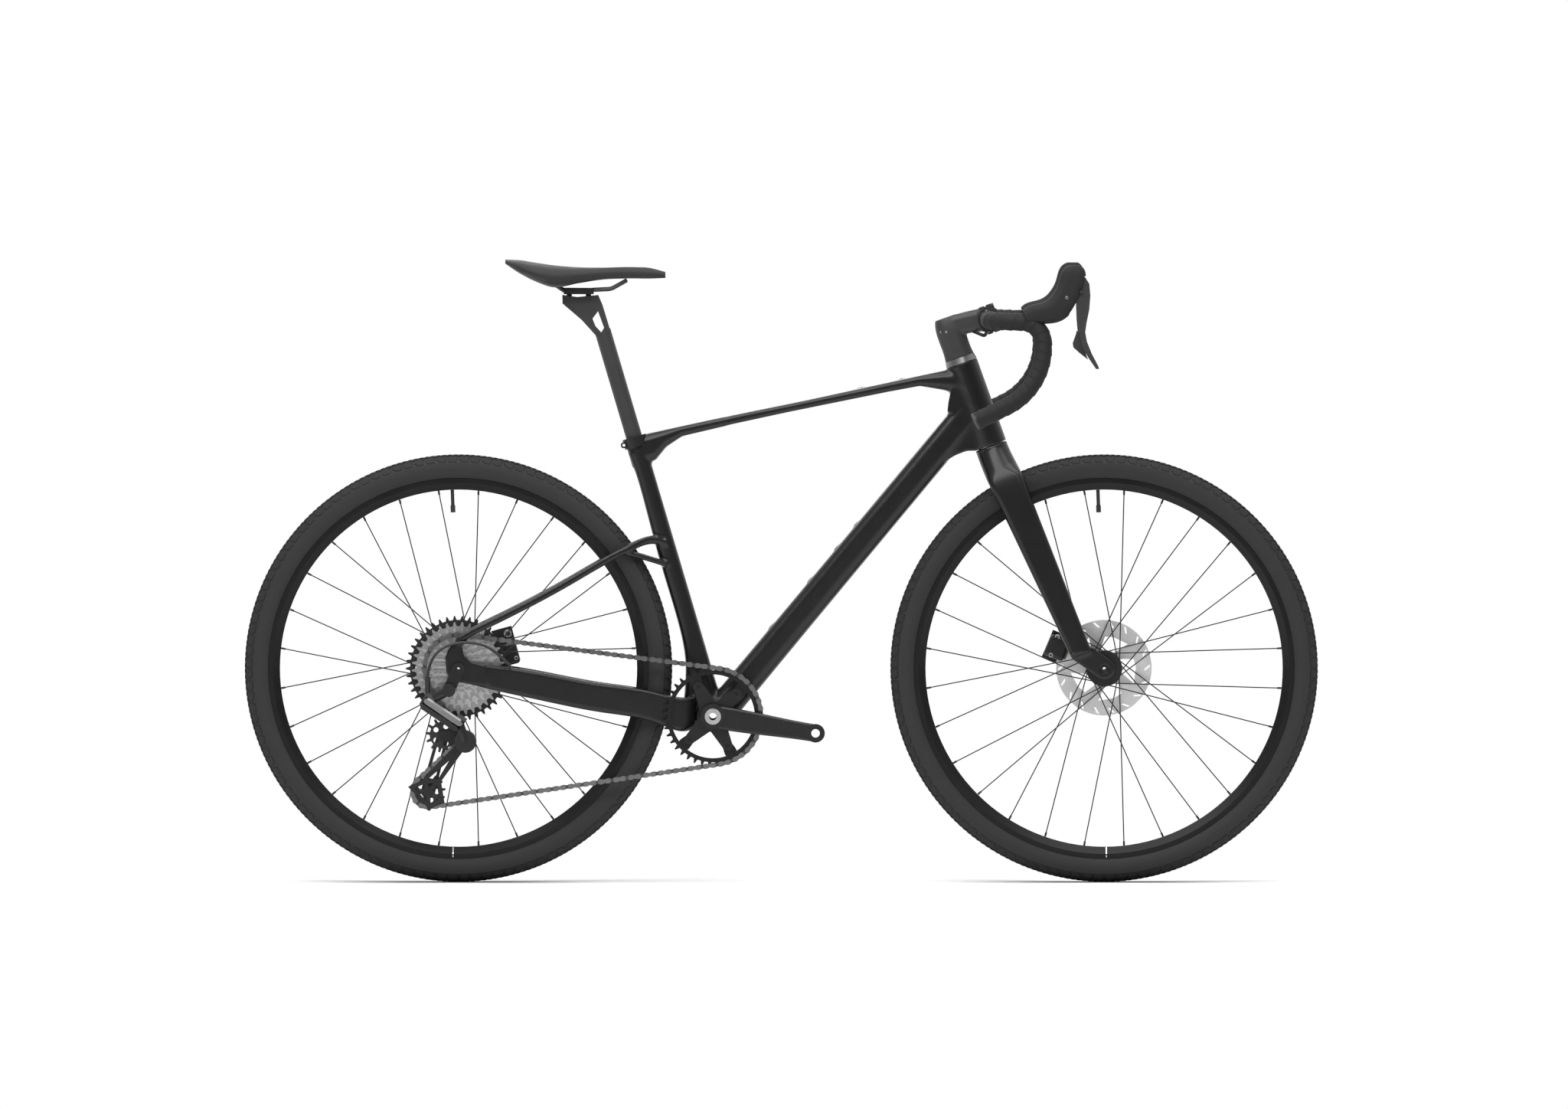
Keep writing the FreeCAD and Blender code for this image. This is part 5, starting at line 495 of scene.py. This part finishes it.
def add_block(verts, faces, turn, block, sign=1):
    """A tread block between two slanted edges, narrower at its top than at its foot."""
    degrees, starts, ends, top, taper = block
    leans = [math.radians(a) * sign for a in degrees]
    step = 2 * math.pi / TREAD_STEPS
    first = len(verts)
    count = len(leans)
    middle = sum(leans) / count
    for level, shrink in ((TREAD_BASE - TREAD_SUNK, 0.0), (top, taper)):
        for lean, start, end in zip(leans, starts, ends):
            centre = turn + step * (start + end) / 2
            bent = middle + (lean - middle) * (1 - shrink)
            for edge in (start, end):
                verts.append(torus_point(centre + (turn + step * edge - centre) * (1 - shrink), bent, level))
    lift = count * 2
    for a in range(first, first + lift - 2, 2):
        b, c, d = a + 1, a + 3, a + 2
        faces.append((a + lift, b + lift, c + lift, d + lift))
        faces.append((a, d, d + lift, a + lift))
        faces.append((b, b + lift, c + lift, c))
    tail = first + lift - 2
    faces.append((first, first + lift, first + lift + 1, first + 1))
    faces.append((tail, tail + 1, tail + 1 + lift, tail + lift))


def tread_mesh():
    verts, faces = [], []
    for k in range(TREAD_STEPS):
        turn = 2 * math.pi * k / TREAD_STEPS
        add_block(verts, faces, turn, CENTRE_BLOCK)
        for sign in (-1, 1):
            add_block(verts, faces, turn, SIDE_BLOCK, sign)
            if k % 2 == 0:
                add_block(verts, faces, turn, SHORT_BLOCK if k % 4 else LONG_BLOCK, sign)
    return verts, faces


def make_tyres():
    casing = casing_mesh()
    tread = tread_mesh()
    for end, axle in (("front", FRONT_AXLE), ("rear", REAR_AXLE)):
        body = end + "_wheel"
        tyre = new_piece(end + "_tyre_casing", *casing, "tyre", "rubber_tyre", 50)
        knobs = new_piece(end + "_tyre_tread", *tread, "tread", "rubber_tyre", 30)
        for piece in (tyre, knobs):
            piece.location = axle
            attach(piece, body)
        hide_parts(end + "_tyre")


# Saddle

SADDLE_TAIL = -0.462
SADDLE_LENGTH = 0.268
SADDLE_HALF = 0.072
SADDLE_BASE = 0.995
SADDLE_HEIGHT = 0.049
SADDLE_STEPS = 61
SADDLE_AROUND = 33
CROWN_POWER = 0.8
BRIM_SHARE = 0.42
BRIM_EDGE = ((0.35, 0.985), (0.7, 0.93), (1.0, 0.80))
BELLY = (0.6, 5)
BELLY_RISE = 0.0004
CHANNEL_WIDTH = 0.0085
CHANNEL_DEPTH = 0.0035
CHANNEL_START = 0.12
CHANNEL_LENGTH = 0.75
CHANNEL_POWER = 0.7
SHELL_LEAN = -0.6
# Shares of the length, the half width, and the height of the crest and of the lower edge
SADDLE_ROWS = (
    (0.0, 0.40, 0.96, 0.82), (0.09, 0.88, 0.94, 0.50), (0.20, 1.0, 0.85, 0.20), (0.31, 0.93, 0.77, 0.02),
    (0.46, 0.66, 0.71, 0.16), (0.61, 0.43, 0.71, 0.28), (0.77, 0.31, 0.735, 0.315), (0.90, 0.27, 0.68, 0.31),
    (1.0, 0.16, 0.54, 0.33),
)


def saddle_section(x, half, crest, floor, channel):
    """Points over the crown from right to left, down the left brim, under the belly and up the right brim."""
    points = []
    brim = floor + (crest - floor) * BRIM_SHARE
    for side in np.linspace(-1, 1, SADDLE_AROUND):
        angle = abs(side) * math.pi / 2
        y = half * math.sin(angle) * math.copysign(1, side)
        z = brim + (crest - brim) * math.cos(angle) ** CROWN_POWER
        points.append((x, y, z - channel * math.exp(-(y / CHANNEL_WIDTH) ** 2)))
    points += [(x, half * inset, brim + (floor - brim) * share) for share, inset in BRIM_EDGE]
    reach, count = BELLY
    points += [(x, half * share, floor + BELLY_RISE) for share in np.linspace(reach, -reach, count)]
    points += [(x, -half * inset, brim + (floor - brim) * share) for share, inset in reversed(BRIM_EDGE)]
    return points


def make_saddle():
    rows = smooth_rows(SADDLE_ROWS, SADDLE_STEPS)
    verts = []
    for along, wide, top, low in rows:
        x = SADDLE_TAIL + SADDLE_LENGTH * along
        share = min(1, max(0, (along - CHANNEL_START) / CHANNEL_LENGTH))
        channel = CHANNEL_DEPTH * max(0.0, math.sin(math.pi * share)) ** CHANNEL_POWER
        verts += saddle_section(x, SADDLE_HALF * wide, SADDLE_BASE + SADDLE_HEIGHT * top,
                                SADDLE_BASE + SADDLE_HEIGHT * low, channel)
    columns = len(verts) // len(rows)
    faces = grid_faces(len(rows), columns, False, True)
    faces.append(tuple(reversed(range(columns))))
    faces.append(tuple(range(len(verts) - columns, len(verts))))
    saddle = new_piece("saddle_cover", verts, faces, "saddle", "saddle_cover", 60)
    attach(saddle, "seat")
    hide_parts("saddle")
    saddle.data.materials.append(materials["shell"])
    for face in saddle.data.polygons:
        face.material_index = int(face.normal.z < SHELL_LEAN)


# Bar tape, wound round the bar in overlapping turns

BAR_CENTRE = Vector((0.347, 0, 0.9419))
BAR_ROUTE = ((0.0, 0.046, 0.0), (0.0, 0.221, 0.0), (0.09, 0.221, -0.003), (0.09, 0.237, -0.113),
             (-0.0215, 0.251, -0.1665))
BAR_BENDS = (0.048, 0.036, 0.112)
TAPE_RADIUS = 0.0146
TAPE_PITCH = 0.0165
TAPE_LIP = 0.0011
TAPE_SUNK = 0.4
TAPE_EDGE = 0.08
TAPE_SPACING = 0.0011
TAPE_AROUND = 40
BEND_STEPS = 24


def bar_line(sign, spacing):
    """Points along the bar's middle line: straight runs joined by arcs."""
    corners = [BAR_CENTRE + Vector((x, sign * y, z)) for x, y, z in BAR_ROUTE]
    points = [corners[0]]
    for i, radius in enumerate(BAR_BENDS, 1):
        before = (corners[i - 1] - corners[i]).normalized()
        after = (corners[i + 1] - corners[i]).normalized()
        half = before.angle(after) / 2
        reach = radius / math.tan(half)
        middle = corners[i] + (before + after).normalized() * (radius / math.sin(half))
        first = corners[i] + before * reach - middle
        last = corners[i] + after * reach - middle
        sweep = first.angle(last)
        for k in range(BEND_STEPS + 1):
            share = k / BEND_STEPS
            along = first * math.sin((1 - share) * sweep) + last * math.sin(share * sweep)
            points.append(middle + along / math.sin(sweep))
    points.append(corners[-1])
    line = np.array(points)
    lengths = np.concatenate([[0], np.cumsum(np.linalg.norm(np.diff(line, axis=0), axis=1))])
    places = np.linspace(0, lengths[-1], int(lengths[-1] / spacing) + 1)
    return np.stack([np.interp(places, lengths, line[:, k]) for k in range(3)], 1), places


def wound_tube(line, places, radius_at):
    """Rings of points along a line, whose radius changes along it and round it."""
    tangents = np.gradient(line, axis=0)
    tangents /= np.linalg.norm(tangents, axis=1)[:, None]
    up = np.array((0.0, 0.0, 1.0))
    side = np.cross(tangents[0], up)
    verts = []
    for point, tangent, place in zip(line, tangents, places):
        side = side - tangent * (side @ tangent)
        side /= np.linalg.norm(side)
        over = np.cross(side, tangent)
        for k in range(TAPE_AROUND):
            angle = 2 * math.pi * k / TAPE_AROUND
            out = side * math.cos(angle) + over * math.sin(angle)
            verts.append(point + out * radius_at(place, k / TAPE_AROUND))
    return verts


def make_tape():
    for sign, name in ((-1, "right"), (1, "left")):
        line, places = bar_line(sign, TAPE_SPACING)

        def radius_at(place, turn):
            phase = (place / TAPE_PITCH + turn * sign) % 1.0
            ridge = min(1.0, (1 - phase) / TAPE_EDGE)
            return TAPE_RADIUS - TAPE_LIP * TAPE_SUNK + TAPE_LIP * phase * ridge

        verts = wound_tube(line, places, radius_at)
        faces = grid_faces(len(line), TAPE_AROUND, False, True)
        faces.append(tuple(reversed(range(TAPE_AROUND))))
        faces.append(tuple(range(len(verts) - TAPE_AROUND, len(verts))))
        tape = new_piece("bar_tape_" + name, verts, faces, "tape", "tape", 35)
        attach(tape, "steering")
        if sign < 0:
            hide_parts("bar_tape")


# Pieces made from a node's own solid: remeshed finely, then eased

FILL_SHARE = 0.5
FILL_TURN = 8


def vertex_rows(mesh, what):
    """The places or the normals of a mesh's points, as rows of three numbers."""
    values = np.empty(len(mesh.vertices) * 3)
    mesh.vertices.foreach_get(what, values)
    return values.reshape(-1, 3)


def fill_creases(mesh, rounds):
    """Moves each point towards the middle of its neighbours where that is outward, so inner corners fill."""
    count = len(mesh.vertices)
    points = vertex_rows(mesh, "co")
    edges = np.empty(len(mesh.edges) * 2, int)
    mesh.edges.foreach_get("vertices", edges)
    ends = np.concatenate([edges.reshape(-1, 2), edges.reshape(-1, 2)[:, ::-1]])
    links = np.bincount(ends[:, 0], minlength=count)[:, None]
    for step in range(rounds):
        if step % FILL_TURN == 0:
            mesh.vertices.foreach_set("co", points.ravel())
            mesh.update()
            normals = vertex_rows(mesh, "normal")
        total = np.stack([np.bincount(ends[:, 0], points[ends[:, 1], k], count) for k in range(3)], 1)
        pull = total / links - points
        outward = np.clip((pull * normals).sum(1), 0, None)[:, None]
        points = points + normals * outward * FILL_SHARE
    mesh.vertices.foreach_set("co", points.ravel())
    mesh.update()


def eased_copy(node, name, voxel, rounds, fills, look, body, slot, mesh=None):
    """A piece made from a node's own solid: remeshed finely, eased, and filled at its inner corners."""
    piece = bpy.data.objects.new(name, mesh or nodes[node].data.copy())
    scene.collection.objects.link(piece)
    remesh = piece.modifiers.new("remesh", "REMESH")
    remesh.mode = "VOXEL"
    remesh.voxel_size = voxel
    ease = piece.modifiers.new("ease", "SMOOTH")
    ease.iterations = rounds
    graph = bpy.context.evaluated_depsgraph_get()
    mesh = bpy.data.meshes.new_from_object(piece.evaluated_get(graph))
    piece.modifiers.clear()
    piece.data = mesh
    if fills:
        fill_creases(mesh, fills)
    mesh.materials.clear()
    mesh.materials.append(materials[look])
    mesh.shade_smooth()
    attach(piece, body)
    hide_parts(node)
    return piece


# The fork, on the steering axis: its foot is the axis's nearest point to the front axle.

STEER_TILT = math.radians(-19.5)
STEER_UP = Vector((math.sin(STEER_TILT), 0, math.cos(STEER_TILT)))
STEER_AHEAD = Vector((STEER_UP.z, 0, -STEER_UP.x))
STEER_OFFSET = 0.0545
STEER_FOOT = FRONT_AXLE - STEER_AHEAD * STEER_OFFSET
CROWN_FLOOR = 0.4120
LUG_CEILING = 0.0415
# Along the steering axis, ahead of it, inner edge, outer edge, half depth and roundness of the corners
BLADE_ROWS = (
    (0.4134, 0.0000, -0.0262, 0.0276, 0.0270, 1.00),
    (0.400, 0.0003, -0.0240, 0.0325, 0.0273, 0.97),
    (0.385, 0.0012, -0.0200, 0.0390, 0.0280, 0.92),
    (0.372, 0.0026, -0.0140, 0.0450, 0.0287, 0.88),
    (0.366, 0.0032, 0.0060, 0.0475, 0.0290, 0.86),
    (0.358, 0.0040, 0.0265, 0.0502, 0.0291, 0.85),
    (0.350, 0.0048, 0.0303, 0.0524, 0.0288, 0.85),
    (0.335, 0.0060, 0.0308, 0.0546, 0.0282, 0.85),
    (0.318, 0.0072, 0.0315, 0.0560, 0.0276, 0.85),
    (0.272, 0.0103, 0.0343, 0.0577, 0.0260, 0.85),
    (0.167, 0.0174, 0.0419, 0.0623, 0.0224, 0.85),
    (0.036, 0.0263, 0.0500, 0.0670, 0.0179, 0.85),
)
BLADE_STEPS = 220
BLADE_EASE = 5
CORNER_STEPS = 9
SEAM_GAP = 0.00001


def rounded_outline(half_depth, half_width, corner_share):
    """Points round a section with four quarter-round corners, as depth and width."""
    corner = corner_share * min(half_depth, half_width)
    points = []
    for quarter, (depth_sign, width_sign) in enumerate(((1, 1), (-1, 1), (-1, -1), (1, -1))):
        for step in range(CORNER_STEPS):
            angle = math.radians(90 * (quarter + step / (CORNER_STEPS - 1)))
            points.append((depth_sign * (half_depth - corner) + corner * math.cos(angle),
                           width_sign * (half_width - corner) + corner * math.sin(angle)))
    return points


def eased_rows(rows, steps, reach):
    """Rows of numbers on straight runs between the given ones, with the corners averaged away."""
    table = np.array(rows)
    spots = np.linspace(table[0, 0], table[-1, 0], steps)
    order = np.argsort(table[:, 0])
    columns = [spots]
    for column in table.T[1:]:
        straight = np.interp(spots, table[order, 0], column[order])
        padded = np.pad(straight, reach, mode="reflect", reflect_type="odd")
        columns.append(np.convolve(padded, np.ones(2 * reach + 1) / (2 * reach + 1), mode="valid"))
    return np.stack(columns, axis=1)


def add_blade(bm, sign):
    """One closed blade, on the right for a sign of -1 and on the left for 1."""
    rings = []
    for height, ahead, inner, outer, half_depth, corner in eased_rows(BLADE_ROWS, BLADE_STEPS, BLADE_EASE):
        side = Vector((0, sign * (inner + outer) / 2, 0))
        centre = STEER_FOOT + STEER_UP * height + STEER_AHEAD * ahead + side
        ring = []
        for depth, width in rounded_outline(half_depth, (outer - inner) / 2, corner):
            ring.append(bm.verts.new(centre + STEER_AHEAD * depth + Vector((0, sign * width, 0))))
        rings.append(ring)
    for first, second in zip(rings, rings[1:]):
        for k in range(len(first)):
            n = (k + 1) % len(first)
            bm.faces.new((first[k], first[n], second[n], second[k]))
    bm.faces.new(rings[0])
    bm.faces.new(rings[-1])


def kept_part(source, height, keep_above):
    """The part of a closed mesh above or below a height on the steering axis, closed again."""
    bm = bmesh.new()
    bm.from_mesh(source)
    bmesh.ops.remove_doubles(bm, verts=bm.verts, dist=SEAM_GAP)
    cut = bmesh.ops.bisect_plane(bm, geom=bm.verts[:] + bm.edges[:] + bm.faces[:], dist=SAME_PLACE,
                                 plane_co=STEER_FOOT + STEER_UP * height, plane_no=STEER_UP,
                                 clear_inner=keep_above, clear_outer=not keep_above)
    edges = [item for item in cut["geom_cut"] if isinstance(item, bmesh.types.BMEdge)]
    bmesh.ops.triangle_fill(bm, use_beauty=True, edges=edges)
    part = bpy.data.meshes.new("kept_part")
    bm.to_mesh(part)
    bm.free()
    return part


def fork_mesh():
    """The crown and the lugs of the fork's own solid, joined by straight tapering blades."""
    bm = bmesh.new()
    bm.from_mesh(kept_part(nodes["fork"].data, CROWN_FLOOR, True))
    bm.from_mesh(kept_part(nodes["fork"].data, LUG_CEILING, False))
    for sign in (-1, 1):
        add_blade(bm, sign)
    bmesh.ops.recalc_face_normals(bm, faces=bm.faces)
    mesh = bpy.data.meshes.new("fork_parts")
    bm.to_mesh(mesh)
    bm.free()
    return mesh


# The frame's top tube, which runs into the head of the seat tube as one even line between two places along X

TUBE_EVEN = (-0.118, 0.040)
TUBE_SKY = 1.0
TUBE_STEPS = 80
TUBE_SHARP = 1.6
TUBE_UNDER = 0.006


def level_top(piece):
    """Turns the low step on the tube's upper side, where its two lofts meet, into an even taper."""
    behind, ahead = TUBE_EVEN
    spots = np.linspace(behind, ahead, TUBE_STEPS)
    tops = np.array([piece.ray_cast((x, 0, TUBE_SKY), (0, 0, -1))[1].z for x in spots])
    lifts = np.linspace(tops[0], tops[-1], TUBE_STEPS) - tops
    points = vertex_rows(piece.data, "co")
    along, height = points[:, 0], points[:, 2]
    upward = np.clip(vertex_rows(piece.data, "normal")[:, 2] * TUBE_SHARP, 0, 1)
    upward[(along < behind) | (along > ahead) | (height < tops.min() - TUBE_UNDER)] = 0
    points[:, 2] += np.interp(along, spots, lifts) * upward
    piece.data.vertices.foreach_set("co", points.ravel())
    piece.data.update()


# Voxel, rounds of easing and rounds of filling
HOOD_EASE = (0.0009, 6, 0)
FRAME_EASE = (0.0014, 7, 60)
FORK_EASE = (0.0012, 6, 60)
STEM_EASE = (0.0009, 5, 30)


def make_mouldings():
    for side in ("right", "left"):
        names = "lever_hood_" + side, "hood_rubber_" + side
        eased_copy(*names, *HOOD_EASE, "hood", "steering", "black_rubber")
    level_top(eased_copy("frame", "frame_moulding", *FRAME_EASE, "carbon", "frame", "carbon"))
    eased_copy("fork", "fork_moulding", *FORK_EASE, "carbon", "steering", "carbon", fork_mesh())
    eased_copy("stem", "stem_moulding", *STEM_EASE, "satin_black", "steering", "black_alloy")


# The cable housing that loops over the rear axle: its radius, its reach from the axle, and its points as
# shares of that reach

HOUSING_RADIUS = 0.0024
HOUSING_SCALE = Vector((0.093, -0.079, 0.047))
HOUSING_SHARES = (
    (0.95, 0.92, 0.06), (0.66, 1.0, 0.72), (0.22, 1.06, 1.0), (-0.24, 1.08, 0.86), (-0.52, 1.14, 0.30),
    (-0.55, 1.16, -0.27),
)


def make_housing():
    curve = bpy.data.curves.new("derailleur_cable", "CURVE")
    curve.dimensions = "3D"
    curve.bevel_depth = HOUSING_RADIUS
    curve.bevel_resolution = 6
    curve.resolution_u = 24
    curve.use_fill_caps = True
    spline = curve.splines.new("NURBS")
    spline.points.add(len(HOUSING_SHARES) - 1)
    for point, shares in zip(spline.points, HOUSING_SHARES):
        point.co = (*(REAR_AXLE + HOUSING_SCALE * Vector(shares)), 1)
    spline.use_endpoint_u = True
    spline.order_u = 3
    curve.materials.append(materials["housing"])
    piece = bpy.data.objects.new("derailleur_cable", curve)
    scene.collection.objects.link(piece)
    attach(piece, "frame")
    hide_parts("derailleur_housing")


# Small fittings that stand on the pieces

FAR_SIDE = 1.0
# Name, piece that carries it, place along X and Z, radius and body
BOLTS = (
    ("stem_bolt_1", "stem_moulding", 0.267, 0.9205, 0.0019, "steering"),
    ("stem_bolt_2", "stem_moulding", 0.276, 0.9205, 0.0019, "steering"),
    ("hood_pin_right", "hood_rubber_right", 0.476, 0.981, 0.0024, "steering"),
    ("front_caliper_bolt_1", "front_caliper", 0.4623, 0.4096, 0.0046, "steering"),
    ("front_caliper_bolt_2", "front_caliper", 0.4515, 0.3790, 0.0040, "steering"),
    ("rear_caliper_bolt_1", "rear_caliper", -0.4583, 0.4145, 0.0068, "frame"),
    ("rear_caliper_bolt_2", "rear_caliper", -0.4443, 0.3739, 0.0034, "frame"),
)
BOLT_RISE = 0.32
BOLT_AROUND = 24
# Shares of the radius and of the rise, from the foot over the rim and into the socket
BOLT_PROFILE = ((1.0, -2.0), (1.0, 0.6), (0.86, 1.0), (0.52, 1.0), (0.5, -0.6), (0.0, -0.6))
RIM_SEAM_TURNS = {"front": -89.3, "rear": -91.7}
RIM_SEAM = (0.2992, 0.3165)
RIM_SEAM_WIDTH = 0.0021
RIM_SEAM_ROWS = 9
RIM_SEAM_LIFT = 0.00015


def surface_spot(target, x, z):
    """Where a line from the bike's right side meets a piece."""
    graph = bpy.context.evaluated_depsgraph_get()
    start = Vector((x, 0, z)) + RIGHT * FAR_SIDE
    met, place, _, _ = target.ray_cast(start, -RIGHT, depsgraph=graph)
    if not met:
        raise ValueError(f"no surface of {target.name} at {x:.4f}, {z:.4f}")
    return place


def make_bolt(name, place, radius, body):
    """A small round head with a socket, facing right."""
    turn = RIGHT.to_track_quat("Z", "Y")
    verts = []
    for out, rise in BOLT_PROFILE:
        for k in range(BOLT_AROUND):
            angle = 2 * math.pi * k / BOLT_AROUND
            spot = Vector((math.cos(angle) * out, math.sin(angle) * out, rise * BOLT_RISE))
            verts.append(place + turn @ spot * radius)
    faces = grid_faces(len(BOLT_PROFILE), BOLT_AROUND, False, True)
    bolt = new_piece(name, verts, faces, "bolt", "silver_alloy", 30)
    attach(bolt, body)


def make_rim_seam(end, axle):
    """The thin bright line across the rim where its two ends meet, opposite the valve."""
    turn = math.radians(RIM_SEAM_TURNS[end])
    out = Vector((math.cos(turn), 0, math.sin(turn)))
    over = Vector((-out.z, 0, out.x)) * (RIM_SEAM_WIDTH / 2)
    verts = []
    for radius in np.linspace(*RIM_SEAM, RIM_SEAM_ROWS):
        for sign in (-1, 1):
            spot = axle + out * radius + over * sign
            place = surface_spot(nodes[end + "_rim"], spot.x, spot.z)
            verts.append(place + RIGHT * RIM_SEAM_LIFT)
    seam = new_piece(end + "_rim_seam", verts, grid_faces(RIM_SEAM_ROWS, 2), "bolt", "silver_alloy", 60)
    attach(seam, end + "_wheel")


def make_fittings():
    bpy.context.view_layer.update()
    for name, carrier, x, z, radius, body in BOLTS:
        make_bolt(name, surface_spot(bpy.data.objects[carrier], x, z), radius, body)
    for end, axle in (("front", FRONT_AXLE), ("rear", REAR_AXLE)):
        make_rim_seam(end, axle)


make_camera()
make_world()
make_floor()
for row in LAMPS:
    lamp(*row)
materials = make_materials()
dress_nodes()
paint_drivetrain()
make_tyres()
make_saddle()
make_tape()
make_mouldings()
make_housing()
make_fittings()
